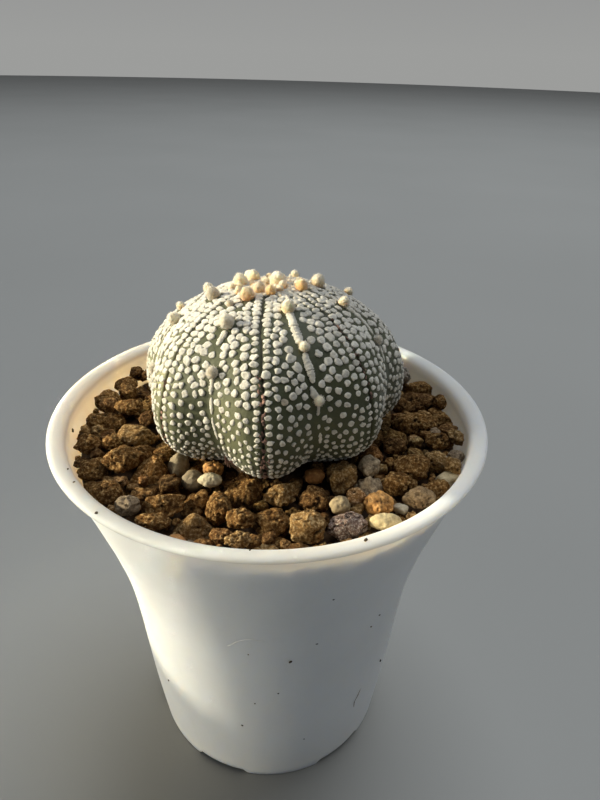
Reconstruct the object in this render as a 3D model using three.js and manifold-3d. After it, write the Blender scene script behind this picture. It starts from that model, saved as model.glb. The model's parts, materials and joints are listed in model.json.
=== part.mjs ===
import * as THREE from "three";
import { ConvexGeometry } from "three/addons/geometries/ConvexGeometry.js";
import { mergeVertices } from "three/addons/utils/BufferGeometryUtils.js";
import Module from "manifold-3d";

// A round star cactus in a flared white plastic pot, on a bed of mixed granules.
// Millimetres, +Z up. The origin is the centre of the pot's foot ring, on the surface it stands on.

// ---- driving dimensions ------------------------------------------------------------------

const RIM_PLANE = 96.8; // height of the widest line of the rim above the foot
const RIM_TOP = 97.3; // highest line of the rolled rim
const RIM_RADIUS = 50;
const LIP_INNER_RADIUS = 46.5;
const WALL = 1.4;
const FOOT_RADIUS = 32.72;
const FOOT_RING_WIDTH = 1.8;
const BASE_UNDERSIDE = 3; // the base is raised inside the foot ring
const BASE_TOP = 4.5;

const NOTCHES = 6; // shallow drainage notches round the foot ring
const NOTCH_HEIGHT = 1.25;
const NOTCH_WIDTH_DEG = 24.5;
const FIRST_NOTCH_DEG = -113.75;

const DRAIN_HOLES = 6;
const DRAIN_RADIUS = 3.5;
const DRAIN_CIRCLE = 20;

const GAP = 0.35; // clearance between pieces that rest against each other
const BED_LEVEL = RIM_PLANE - 7.6; // top of the fine bed, among the larger stones

// The outside of the wall, from the foot to the rim: [radius, height].
const WALL_OUTSIDE = [
  [32.72, 0.5],
  [33.75, 10],
  [34.81, 21.3],
  [35.55, 31],
  [36.19, 40.6],
  [36.85, 48.6],
  [37.74, 56.1],
  [38.82, 62.2],
  [40.14, 67.8],
  [41.36, 72.7],
  [42.73, 77.4],
  [43.86, 81.4],
  [44.99, 85.2],
  [45.9, 88.2],
  [46.79, 91],
  [47.5, 93.4],
  [47.95, 94.7],
];

// The plant: eight broad ribs. A narrow furrow runs down the crest of each rib, and the woolly
// areoles sit along the wide shallow valleys between them.
const PLANT = {
  centre: [1.36, 2.84, RIM_PLANE + 6.43], // middle of the widest line
  radius: 30.09,
  crown: 22.25, // height of the crown above the widest line
  belly: 13.89, // depth of the underside below it
  crownPower: 2.125, // 2 is an ellipse, more is squarer
  bellyPower: 2.474,
  valley: 0.151, // valley depth, as a fraction of the radius
  valleyPower: 1.211,
  dimple: 0.83, // the crown's woolly dimple
  lean: [-1.9, 3.7], // the growing point, where the ribs meet, sits off the middle
  leanEnds: 95, // degrees from the crown at which the ribs run straight again
};

// The ribs: [crest direction, direction of the valley after it, how far the crest stands out],
// in degrees from +X.
const RIBS = [
  [-139, -117, 1.05],
  [-94.7, -73, 1.034],
  [-48, -24, 0.971],
  [-2, 20, 0.986],
  [43, 65, 1],
  [88, 110, 1],
  [132, 152, 1],
  [172, 194, 0.994],
];

// [corners, blockiness, unevenness] of each sort of stone
const STONE_KINDS = {
  akadama: [17, 3.2, 0.2],
  pumice: [22, 2.5, 0.16],
  lava: [20, 2.6, 0.24],
  pebble: [32, 2.2, 0.03],
};

// Corners of the stones whose shape shows best, as fractions of the half sizes
// (+X right, +Y back, +Z up).
const HEWN_CORNERS = {
  wedge: [[0.5, 0.1, 1], [-1, -0.4, -0.65], [1, -0.35, -0.6], [0.8, 0.2, 0.45], [-0.1, -1, -0.8], [-0.5, 0.9, -0.2], [0.7, 0.9, -0.1], [-0.6, 0.5, -1], [0.6, 0.4, -1], [0, -0.5, -1], [-0.4, 0, 0.3], [0.1, 0.6, 0.75]],
  pyramid: [[0.1, -0.1, 1], [-1, -0.3, -0.6], [1, -0.25, -0.55], [-0.2, -1, -0.75], [0.5, -0.8, -0.8], [-0.7, 0.7, -0.3], [0.6, 0.9, -0.3], [0, 0.5, 0.55], [-0.5, 0.3, -1], [0.5, 0.2, -1], [-0.45, -0.3, 0.35], [0.55, -0.2, 0.3]],
  slab: [[-1, -0.5, -0.5], [-0.7, -0.2, 0.1], [0.3, 0, 0.9], [1, 0.2, 0.8], [0.9, -0.2, 0.1], [0.3, -0.8, -0.6], [-0.5, -1, -0.9], [-0.4, 0.5, -1], [0.6, 0.6, -1], [0.7, 1, 0.2], [-0.5, 0.8, 0], [0.6, 0.7, 0.9]],
  block: [[-1, -0.3, 0.35], [-0.9, -0.6, -0.5], [0.15, -0.2, 1], [0.5, 0.1, 0.95], [1, 0, 0.5], [0.85, -0.5, -0.5], [0.1, -1, -0.6], [-0.3, -0.9, 0.05], [0.4, -0.8, 0.3], [-0.7, 0.8, 0.2], [0.7, 1, 0.3], [-0.5, 0.5, -1], [0.6, 0.4, -1], [0, -0.6, -1]],
  ridge: [[-1, -0.4, -0.3], [-0.55, -0.1, 0.5], [0.2, 0.1, 1], [0.7, 0.3, 0.8], [1, 0.2, 0.1], [0.8, -0.5, -0.5], [0, -1, -0.7], [-0.5, -0.8, -0.6], [-0.6, 0.8, 0], [0.6, 1, 0.2], [-0.4, 0.4, -1], [0.6, 0.3, -1], [0.2, -0.5, 0.5]],
  cube: [[-0.8, -0.5, 0.8], [0.75, -0.4, 0.9], [-1, 0.5, 0.7], [1, 0.6, 0.8], [-0.9, -0.8, -0.5], [0.2, -1, -0.9], [0.9, -0.7, -0.1], [0.5, -0.9, -0.4], [-0.8, 0.9, -0.4], [0.8, 1, -0.3], [-0.5, 0.2, -1], [0.6, 0.3, -1], [0.1, 0.1, 1]],
  nugget: [[-0.1, 0, 1], [0.35, 0.2, 0.85], [-0.5, 0.2, 0.7], [1, -0.1, 0], [0.9, 0.5, 0.2], [-1, 0, 0], [-0.9, -0.5, -0.3], [0.5, -0.8, -0.2], [-0.2, -1, -0.4], [0.1, -0.7, 0.5], [0.7, -0.5, -0.7], [-0.5, -0.5, -0.9], [-0.7, 0.8, -0.1], [0.6, 0.9, -0.2], [0, 0.6, -1], [0.3, -0.2, -1]],
  bench: [[-1, -0.2, -0.2], [-0.6, 0.1, 0.8], [0.2, 0.2, 1], [1, 0.3, 0.7], [0.95, -0.2, -0.1], [0.5, -0.8, -0.6], [-0.3, -1, -0.7], [-0.8, -0.7, -0.7], [-0.7, 0.8, 0], [0.7, 1, 0.2], [-0.4, 0.4, -1], [0.6, 0.3, -1], [-0.1, -0.5, 0.4]],
};

const STONE_COLOURS = {
  brown: "#9c6b3e",
  tan: "#b98a5a",
  dark: "#5d4430",
  golden: "#b98646",
  cream: "#cbbd9f",
  grey: "#9d9384",
  plum: "#5a4238",
};

// The larger stones of the top dressing: name, shape, colour, centre measured from the rim
// plane, half sizes along X, Y and Z, and the seed of its shape.
const STONES = [
  ["akadama_granule_01", "akadama", "brown", [-41.11, 10.53, -4.06], [3.13, 2.70, 2.46], 101],
  ["akadama_granule_02", "akadama", "brown", [-34.31, 4.00, -2.10], [3.51, 2.08, 1.89], 108],
  ["akadama_granule_03", "akadama", "brown", [-39.91, 2.40, -6.28], [4.99, 3.62, 3.29], 115],
  ["akadama_granule_04", "akadama", "dark", [-29.38, 0.87, -3.58], [2.47, 2.17, 1.98], 122],
  ["akadama_granule_05", "akadama", "tan", [-30.87, -5.86, -4.96], [4.75, 3.45, 3.13], 129],
  ["akadama_granule_06", "akadama", "brown", [-40.96, -9.26, -4.03], [3.23, 2.63, 2.39], 136],
  ["akadama_granule_07", "akadama", "brown", [-35.45, -9.64, -3.07], [1.96, 1.91, 1.74], 143],
  ["akadama_granule_08", "akadama", "brown", [-38.08, -17.20, -5.34], [3.40, 2.96, 2.69], 150],
  ["akadama_granule_09", "akadama", "brown", [-31.75, -17.18, -2.29], [4.08, 3.20, 2.91], 157],
  ["akadama_granule_10", "wedge", "brown", [-26.61, -18.74, -6.30], [5.09, 5.39, 4.90], 164],
  ["pebble_01", "pebble", "cream", [-19.95, -15.84, -5.03], [2.35, 3.13, 2.85], 171],
  ["pebble_02", "pebble", "cream", [-16.09, -22.47, -3.94], [2.46, 2.33, 2.12], 178],
  ["pebble_03", "pebble", "golden", [-12.18, -19.26, -3.46], [2.29, 1.92, 1.75], 185],
  ["pebble_04", "pebble", "cream", [-12.34, -24.78, -2.17], [2.51, 1.63, 1.48], 192],
  ["akadama_granule_11", "akadama", "brown", [-33.22, -26.17, -4.13], [3.82, 2.78, 2.53], 199],
  ["pumice_granule_01", "pumice", "grey", [-27.55, -31.49, -3.13], [2.59, 2.17, 1.97], 206],
  ["akadama_granule_12", "bench", "brown", [-21.02, -30.24, -3.99], [4.34, 2.51, 2.28], 213],
  ["akadama_granule_13", "akadama", "brown", [-22.00, -35.85, -3.24], [3.47, 1.80, 1.64], 220],
  ["akadama_granule_14", "slab", "brown", [-15.10, -28.47, -5.17], [2.87, 2.77, 2.52], 227],
  ["akadama_granule_15", "pyramid", "tan", [-14.78, -34.91, -5.82], [4.52, 3.77, 3.43], 234],
  ["akadama_granule_16", "akadama", "brown", [-10.15, -31.19, -3.90], [2.63, 3.35, 3.04], 241],
  ["akadama_granule_17", "block", "brown", [-5.45, -25.84, -4.87], [3.89, 3.60, 3.27], 248],
  ["akadama_granule_18", "akadama", "brown", [-5.74, -34.97, -3.38], [2.84, 2.13, 1.94], 255],
  ["akadama_granule_19", "akadama", "tan", [-5.90, -41.10, -3.00], [2.51, 1.54, 1.40], 262],
  ["akadama_granule_20", "ridge", "tan", [2.08, -27.03, -3.96], [3.75, 2.59, 2.36], 269],
  ["akadama_granule_21", "akadama", "brown", [0.58, -34.04, -5.64], [3.98, 3.71, 3.37], 276],
  ["akadama_granule_22", "akadama", "tan", [7.04, -36.31, -4.08], [3.63, 3.45, 3.14], 283],
  ["akadama_granule_23", "akadama", "dark", [8.74, -27.96, -4.54], [3.12, 3.24, 2.94], 290],
  ["pebble_05", "pebble", "golden", [9.24, -21.98, -3.33], [2.16, 1.90, 1.73], 297],
  ["akadama_granule_24", "cube", "tan", [15.01, -21.35, -4.16], [3.29, 3.86, 3.51], 304],
  ["pumice_granule_02", "nugget", "grey", [20.74, -23.17, -6.37], [3.14, 3.93, 3.58], 311],
  ["pebble_06", "pebble", "cream", [13.61, -31.31, -3.32], [2.12, 1.89, 1.72], 318],
  ["akadama_granule_25", "akadama", "brown", [22.20, -14.85, -4.18], [2.97, 2.84, 2.58], 325],
  ["akadama_granule_26", "akadama", "brown", [27.01, -23.89, -3.90], [3.66, 2.68, 2.43], 332],
  ["pebble_07", "pebble", "golden", [21.57, -30.35, -4.21], [3.08, 2.88, 2.61], 339],
  ["lava_granule_01", "lava", "plum", [14.60, -36.14, -4.37], [3.93, 2.96, 2.69], 346],
  ["pebble_08", "pebble", "cream", [21.88, -36.31, -3.33], [3.13, 1.83, 1.66], 353],
  ["pumice_granule_03", "pumice", "grey", [29.97, -28.87, -3.84], [3.54, 2.48, 2.26], 360],
  ["akadama_granule_27", "akadama", "brown", [30.52, -18.76, -3.51], [4.15, 3.03, 2.75], 367],
  ["akadama_granule_28", "akadama", "brown", [35.42, -0.18, -4.68], [5.79, 3.39, 3.08], 374],
  ["akadama_granule_29", "akadama", "tan", [36.94, -15.39, -4.81], [3.64, 2.71, 2.46], 381],
  ["akadama_granule_30", "akadama", "dark", [36.72, 9.64, -4.86], [6.52, 3.59, 3.26], 388],
  ["akadama_granule_31", "akadama", "dark", [35.36, 20.50, -7.01], [4.58, 3.27, 2.97], 395],
  ["akadama_granule_32", "akadama", "brown", [-38.10, 18.50, -3.79], [3.01, 2.41, 2.19], 402],
  ["akadama_granule_33", "akadama", "dark", [-35.97, 23.52, -3.33], [2.24, 2.03, 1.85], 409],
  ["akadama_granule_34", "akadama", "brown", [38.77, -8.34, -3.85], [3.11, 2.48, 2.25], 416],
  ["akadama_granule_35", "akadama", "dark", [28.26, -10.77, -3.81], [2.81, 2.43, 2.21], 423],
  ["akadama_granule_36", "akadama", "brown", [17.14, 32.23, -4.70], [4.60, 3.40, 2.90], 901],
  ["akadama_granule_37", "akadama", "tan", [8.21, 38.64, -4.60], [3.60, 3.20, 2.80], 908],
  ["akadama_granule_38", "akadama", "brown", [-1.32, 37.78, -5.00], [4.90, 3.70, 3.20], 915],
  ["pumice_granule_04", "pumice", "grey", [-12.30, 37.85, -4.40], [3.30, 3.00, 2.60], 922],
  ["akadama_granule_39", "akadama", "dark", [-21.58, 32.00, -4.80], [4.40, 3.60, 3.00], 929],
  ["pebble_09", "pebble", "cream", [-31.02, 25.38, -4.32], [3.00, 2.90, 2.40], 936],
  ["akadama_granule_40", "akadama", "tan", [27.10, 30.10, -4.30], [3.20, 2.90, 2.50], 943],
  ["pumice_granule_05", "pumice", "grey", [35.17, 20.19, -1.66], [2.80, 2.60, 2.30], 950],
];

// ---- materials ---------------------------------------------------------------------------

const material = (colour, roughness, metalness = 0) =>
  new THREE.MeshStandardMaterial({
    color: new THREE.Color(colour),
    roughness,
    metalness,
  });

const WHITE_PLASTIC = material("#efece2", 0.42);
const PLANT_SKIN = material("#5c6650", 0.62);
const FINE_BED = material("#3a2a1d", 0.95);

// ---- helpers -----------------------------------------------------------------------------

const wasm = await Module();
wasm.setup();

// A closed geometry as a solid for joining and cutting.
function solid(geometry) {
  const bare = geometry.clone();
  bare.deleteAttribute("normal");
  bare.deleteAttribute("uv");
  const merged = mergeVertices(bare, 1e-4);
  return new wasm.Manifold(
    new wasm.Mesh({
      numProp: 3,
      vertProperties: merged.attributes.position.array,
      triVerts: new Uint32Array(merged.index.array),
    }),
  );
}

function geometryOf(manifold) {
  const mesh = manifold.getMesh();
  const geometry = new THREE.BufferGeometry();
  geometry.setAttribute(
    "position",
    new THREE.BufferAttribute(new Float32Array(mesh.vertProperties), 3),
  );
  geometry.setIndex(new THREE.BufferAttribute(new Uint32Array(mesh.triVerts), 1));
  const flat = geometry.toNonIndexed();
  flat.computeVertexNormals();
  return flat;
}

function named(name, geometry, surface) {
  const mesh = new THREE.Mesh(geometry, surface);
  mesh.name = name;
  return mesh;
}

// A profile of [radius, height] pairs turned round the Z axis.
function turned(profile, segments) {
  const points = profile.map(([r, z]) => new THREE.Vector2(r, z));
  return new THREE.LatheGeometry(points, segments).rotateX(Math.PI / 2);
}

// Repeatable random numbers from 0 to 1.
function random(seed) {
  let s = seed >>> 0;
  return () => {
    s = (s + 0x6d2b79f5) >>> 0;
    let t = Math.imul(s ^ (s >>> 15), 1 | s);
    t = (t + Math.imul(t ^ (t >>> 7), 61 | t)) ^ t;
    return ((t ^ (t >>> 14)) >>> 0) / 4294967296;
  };
}

const degrees = (a) => (a * Math.PI) / 180;
const clamp = (v, low, high) => Math.min(high, Math.max(low, v));

// ---- pot ---------------------------------------------------------------------------------

const wallInside = WALL_OUTSIDE.map(([r, z]) => [r - WALL, z]);

// Radius of the wall's inner face at a height.
function insideRadius(z) {
  for (let i = 1; i < wallInside.length; i++) {
    const [r0, z0] = wallInside[i - 1],
      [r1, z1] = wallInside[i];
    if (z <= z1) return r0 + ((r1 - r0) * (z - z0)) / (z1 - z0);
  }
  return wallInside[wallInside.length - 1][0];
}

function potGeometry() {
  const ringInner = FOOT_RADIUS - FOOT_RING_WIDTH;
  const profile = [
    [0, BASE_UNDERSIDE],
    [ringInner - 0.6, BASE_UNDERSIDE],
    [ringInner - 0.1, BASE_UNDERSIDE - 0.5],
    [ringInner, 0],
    [FOOT_RADIUS - 0.35, 0],
    ...WALL_OUTSIDE,
    // the step under the rolled rim, then round the rim's bead
    [49.15, 94.85],
    [49.75, 95.35],
    [RIM_RADIUS, 96.25],
    [49.85, RIM_PLANE],
    [49.3, RIM_TOP - 0.12],
    [48.4, RIM_TOP],
    [47.4, RIM_TOP - 0.18],
    [LIP_INNER_RADIUS + 0.15, RIM_PLANE - 0.45],
    [LIP_INNER_RADIUS - 0.1, 95.2],
    // down the inside of the wall
    ...wallInside
      .filter(([, z], i) => i % 2 === 1 && z < 92)
      .reverse(),
    [insideRadius(6) - 0.2, 6],
    [insideRadius(BASE_TOP) - 1.2, BASE_TOP],
    [0, BASE_TOP],
  ];
  let pot = solid(turned(profile, 60));

  // shallow notches, so that water can run out from under the base
  for (let i = 0; i < NOTCHES; i++) {
    const middle = degrees(FIRST_NOTCH_DEG + (i * 360) / NOTCHES),
      half = degrees(NOTCH_WIDTH_DEG / 2);
    const sector = new THREE.Shape();
    sector.absarc(0, 0, FOOT_RADIUS + 4, middle - half, middle + half, false);
    sector.absarc(0, 0, FOOT_RADIUS - 4, middle + half, middle - half, true);
    sector.closePath();
    const cutter = new THREE.ExtrudeGeometry(sector, {
      depth: NOTCH_HEIGHT + 1,
      bevelEnabled: false,
      curveSegments: 6,
    }).translate(0, 0, -1);
    pot = pot.subtract(solid(cutter));
  }

  // drain holes through the base, one in the middle and a ring of others
  const places = [[0, 0]];
  for (let i = 0; i < DRAIN_HOLES; i++) {
    const a = degrees(FIRST_NOTCH_DEG + ((i + 0.5) * 360) / DRAIN_HOLES);
    places.push([DRAIN_CIRCLE * Math.cos(a), DRAIN_CIRCLE * Math.sin(a)]);
  }
  for (const [x, y] of places) {
    const drill = new THREE.CylinderGeometry(
      DRAIN_RADIUS,
      DRAIN_RADIUS,
      BASE_TOP - BASE_UNDERSIDE + 2,
      16,
    )
      .rotateX(Math.PI / 2)
      .translate(x, y, (BASE_TOP + BASE_UNDERSIDE) / 2);
    pot = pot.subtract(solid(drill));
  }
  return geometryOf(pot);
}

// ---- plant -------------------------------------------------------------------------------

// Where a direction lies between two crests (0 and 1, with the valley at 0.5), and how far the
// ribs stand out there.
function ribAt(direction) {
  const first = RIBS[0][0];
  const turn = (((direction - first) % 360) + 360) % 360;
  for (let i = 0; i < RIBS.length; i++) {
    const from = RIBS[i][0] - first;
    const valley = RIBS[i][1] - first;
    const next = RIBS[(i + 1) % RIBS.length];
    const to = i + 1 < RIBS.length ? next[0] - first : 360;
    if (turn < from || turn > to) continue;
    const f =
      turn < valley
        ? (0.5 * (turn - from)) / (valley - from)
        : 0.5 + (0.5 * (turn - valley)) / (to - valley);
    const blend = 0.5 - 0.5 * Math.cos(Math.PI * f);
    return [f, RIBS[i][2] * (1 - blend) + next[2] * blend];
  }
  return [0, 1];
}

function plantGeometry() {
  const geometry = new THREE.SphereGeometry(1, 72, 26).rotateX(Math.PI / 2);
  const at = geometry.attributes.position;
  for (let i = 0; i < at.count; i++) {
    const z = clamp(at.getZ(i), -1, 1);
    const angle = Math.atan2(at.getY(i), at.getX(i));
    const down = Math.acos(z); // 0 at the crown, PI underneath
    const power = z >= 0 ? PLANT.crownPower : PLANT.bellyPower;
    const spread = Math.sin(down) < 1e-6 ? 0 : Math.sin(down) ** (2 / power);

    // the ribs run out from the growing point, not from the middle of the crown
    const t = clamp((down - degrees(10)) / degrees(PLANT.leanEnds - 10), 0, 1);
    const lean = z >= 0 || t < 1 ? 1 - t * t * (3 - 2 * t) : 0;
    const [leanX, leanY] = PLANT.lean;
    const plainX = PLANT.radius * spread * Math.cos(angle),
      plainY = PLANT.radius * spread * Math.sin(angle);
    const direction = Math.atan2(plainY - leanY * lean, plainX - leanX * lean);

    const [f, stand] = ribAt((direction * 180) / Math.PI);
    const valley = (0.5 - 0.5 * Math.cos(2 * Math.PI * f)) ** PLANT.valleyPower;
    const depth = clamp((down / Math.PI - 0.08) / 0.52, 0, 1) ** 1.3;
    const grow =
      (1 - PLANT.valley * depth * valley) * (1 + (stand - 1) * clamp(down / 1.2, 0, 1));
    const dimple =
      PLANT.dimple *
      Math.exp(-(((plainX - leanX) ** 2 + (plainY - leanY) ** 2) / (0.16 * PLANT.radius) ** 2));
    const height = (z >= 0 ? PLANT.crown : -PLANT.belly) * Math.abs(z) ** (2 / power);
    at.setXYZ(
      i,
      PLANT.centre[0] + plainX * grow,
      PLANT.centre[1] + plainY * grow,
      PLANT.centre[2] + height - (z > 0 ? dimple : 0),
    );
  }
  geometry.computeVertexNormals();
  return geometry;
}

// ---- fine bed under the stones -----------------------------------------------------------

// The bed fills the pot and rises in a low mound that carries the plant.
function bedGeometry() {
  const bottom = BASE_TOP + GAP;
  const profile = [[0, bottom]];
  profile.push([insideRadius(bottom) - 1.9, bottom]);
  wallInside.forEach(([, z], i) => {
    if (i % 2 === 1 && z < BED_LEVEL - 2) profile.push([insideRadius(z) - GAP - 0.1, z]);
  });
  profile.push([insideRadius(BED_LEVEL - 0.8) - GAP - 0.15, BED_LEVEL - 0.8]);
  profile.push([insideRadius(BED_LEVEL) - 1, BED_LEVEL - 0.15]);
  for (const r of [40, 36, 31.5]) profile.push([r, BED_LEVEL]);
  profile.push([27, BED_LEVEL - 0.1]);
  profile.push([24, BED_LEVEL - 0.1]);
  // the seat: it follows the plant's underside
  for (const r of [20, 16, 11.5, 6, 0]) {
    // the plant stands off the pot's axis, so its lowest point at this radius lies nearer its own
    const q = Math.max(0, r - 3.3) / (PLANT.radius * 1.05);
    const under =
      PLANT.centre[2] - PLANT.belly * (1 - q ** PLANT.bellyPower) ** (1 / PLANT.bellyPower);
    profile.push([r, Math.min(under, PLANT.centre[2] - PLANT.belly + 1.2) - GAP]);
  }
  const geometry = turned(profile, 48);
  // small hollows and humps where the granules lie open, always below the stones
  const at = geometry.attributes.position;
  for (let i = 0; i < at.count; i++) {
    const x = at.getX(i),
      y = at.getY(i),
      z = at.getZ(i),
      r = Math.hypot(x, y);
    if (z > BED_LEVEL - 0.2 && r > 23 && r < 43) {
      const lump =
        Math.sin(x * 0.93 + 1.2 * Math.sin(y * 0.71)) *
        Math.sin(y * 0.87 + 1.1 * Math.sin(x * 0.63 + 2));
      at.setZ(i, z - 0.3 + 0.3 * lump);
    }
  }
  // each stone of the top dressing sits in a hollow of its own shape
  let bed = solid(geometry);
  for (const [, shape, , centre, half, seed] of STONES) {
    const grow = 1 + (GAP + 0.1) / Math.min(...half);
    const hollow = stoneGeometry(shape, half, seed)
      .scale(grow, grow, grow)
      .translate(centre[0], centre[1], centre[2] + RIM_PLANE);
    bed = bed.subtract(solid(hollow));
  }
  return geometryOf(bed);
}

// ---- stones ------------------------------------------------------------------------------

// A stone is the convex hull of a few corners, scaled to its half sizes.
function stoneGeometry(shape, half, seed) {
  if (HEWN_CORNERS[shape])
    return new ConvexGeometry(
      HEWN_CORNERS[shape].map(
        ([x, y, z]) => new THREE.Vector3(x * half[0], y * half[1], z * half[2]),
      ),
    );
  const [corners, block, uneven] = STONE_KINDS[shape];
  const next = random(seed);
  const spin = new THREE.Quaternion(
    next() - 0.5,
    next() - 0.5,
    next() - 0.5,
    next() - 0.5,
  ).normalize();
  const stray = 2.08 / Math.sqrt(corners);
  const points = [];
  for (let i = 0; i < corners; i++) {
    const w = 1 - (2 * (i + 0.5)) / corners,
      t = i * 2.399963,
      ring = Math.sqrt(1 - w * w);
    const d = new THREE.Vector3(Math.cos(t) * ring, Math.sin(t) * ring, w);
    d.x += (next() - 0.5) * stray;
    d.y += (next() - 0.5) * stray;
    d.z += (next() - 0.5) * stray;
    d.normalize();
    const reach =
      (Math.abs(d.x) ** block + Math.abs(d.y) ** block + Math.abs(d.z) ** block) **
        (-1 / block) *
      (1 - uneven * next());
    points.push(d.multiplyScalar(reach).applyQuaternion(spin));
  }
  const box = new THREE.Box3().setFromPoints(points),
    middle = box.getCenter(new THREE.Vector3()),
    size = box.getSize(new THREE.Vector3());
  return new ConvexGeometry(
    points.map(
      (p) =>
        new THREE.Vector3(
          ((p.x - middle.x) * 2 * half[0]) / size.x,
          ((p.y - middle.y) * 2 * half[1]) / size.y,
          ((p.z - middle.z) * 2 * half[2]) / size.z,
        ),
    ),
  );
}

// ---- assembly ----------------------------------------------------------------------------

const part = new THREE.Group();
part.name = "potted_star_cactus";

part.add(named("pot", potGeometry(), WHITE_PLASTIC));
part.add(named("granule_bed", bedGeometry(), FINE_BED));
part.add(named("cactus_body", plantGeometry(), PLANT_SKIN));

const topDressing = new THREE.Group();
topDressing.position.z = RIM_PLANE;
for (const [name, shape, tone, centre, half, seed] of STONES) {
  const surface = material(STONE_COLOURS[tone], shape === "pebble" ? 0.6 : 0.92);
  const stone = named(name, stoneGeometry(shape, half, seed), surface);
  stone.position.set(...centre);
  topDressing.add(stone);
}
part.add(topDressing);

export default part;
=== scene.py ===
import json
import math

import bpy
import numpy as np
from mathutils import Matrix, Vector
from mathutils.geometry import delaunay_2d_cdt
from mathutils.kdtree import KDTree

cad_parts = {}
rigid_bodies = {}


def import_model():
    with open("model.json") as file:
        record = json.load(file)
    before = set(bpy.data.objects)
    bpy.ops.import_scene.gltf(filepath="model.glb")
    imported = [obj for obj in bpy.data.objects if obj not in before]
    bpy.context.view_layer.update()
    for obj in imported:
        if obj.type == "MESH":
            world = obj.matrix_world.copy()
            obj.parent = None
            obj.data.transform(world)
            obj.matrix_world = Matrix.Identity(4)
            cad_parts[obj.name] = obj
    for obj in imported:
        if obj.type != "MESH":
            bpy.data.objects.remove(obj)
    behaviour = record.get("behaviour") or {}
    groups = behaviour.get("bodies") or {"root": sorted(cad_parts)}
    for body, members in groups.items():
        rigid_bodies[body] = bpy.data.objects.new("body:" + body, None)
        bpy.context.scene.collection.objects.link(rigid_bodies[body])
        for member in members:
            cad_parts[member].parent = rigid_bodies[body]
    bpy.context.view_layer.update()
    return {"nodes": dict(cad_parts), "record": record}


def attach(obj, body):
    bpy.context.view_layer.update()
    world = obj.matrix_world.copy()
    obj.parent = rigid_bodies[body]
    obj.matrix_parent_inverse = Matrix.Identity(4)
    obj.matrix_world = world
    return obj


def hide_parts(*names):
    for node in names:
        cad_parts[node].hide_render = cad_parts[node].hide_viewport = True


# A flecked round star cactus in a flared white plastic pot, bedded in fired-clay granules,
# pumice and pebbles. Shapes are worked out in millimetres and stored in metres.

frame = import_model()

RIM_PLANE = 96.8
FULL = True


# ---- camera, light, floor ----------------------------------------------------------------


def set_camera():
    data = bpy.data.cameras.new("camera")
    data.lens = 27.045
    data.sensor_width = 36.0
    data.sensor_fit = "AUTO"
    data.clip_start = 0.005
    data.clip_end = 20.0
    eye = bpy.data.objects.new("camera", data)
    right = Vector((0.99882092, -0.0413671, 0.02540724))
    up = Vector((-0.00100153, 0.50568863, 0.86271549))
    ahead = Vector((0.04853619, 0.86172372, -0.50505095))
    turn = Matrix((right, up, -ahead)).transposed().to_4x4()
    eye.matrix_world = Matrix.Translation((0.0, -0.122388, 0.170784)) @ turn
    bpy.context.scene.collection.objects.link(eye)
    bpy.context.scene.camera = eye


def aimed(name, data, place, target):
    lamp = bpy.data.objects.new(name, data)
    way = (Vector(target) - Vector(place)).normalized()
    lamp.matrix_world = Matrix.Translation(place) @ way.to_track_quat("-Z", "Y").to_matrix().to_4x4()
    bpy.context.scene.collection.objects.link(lamp)
    return lamp


KEY_AZIMUTH = 170.0
KEY_ELEVATION = 17.5
KEY_DISTANCE = 1.3
KEY_POWER = 117.0


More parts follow.
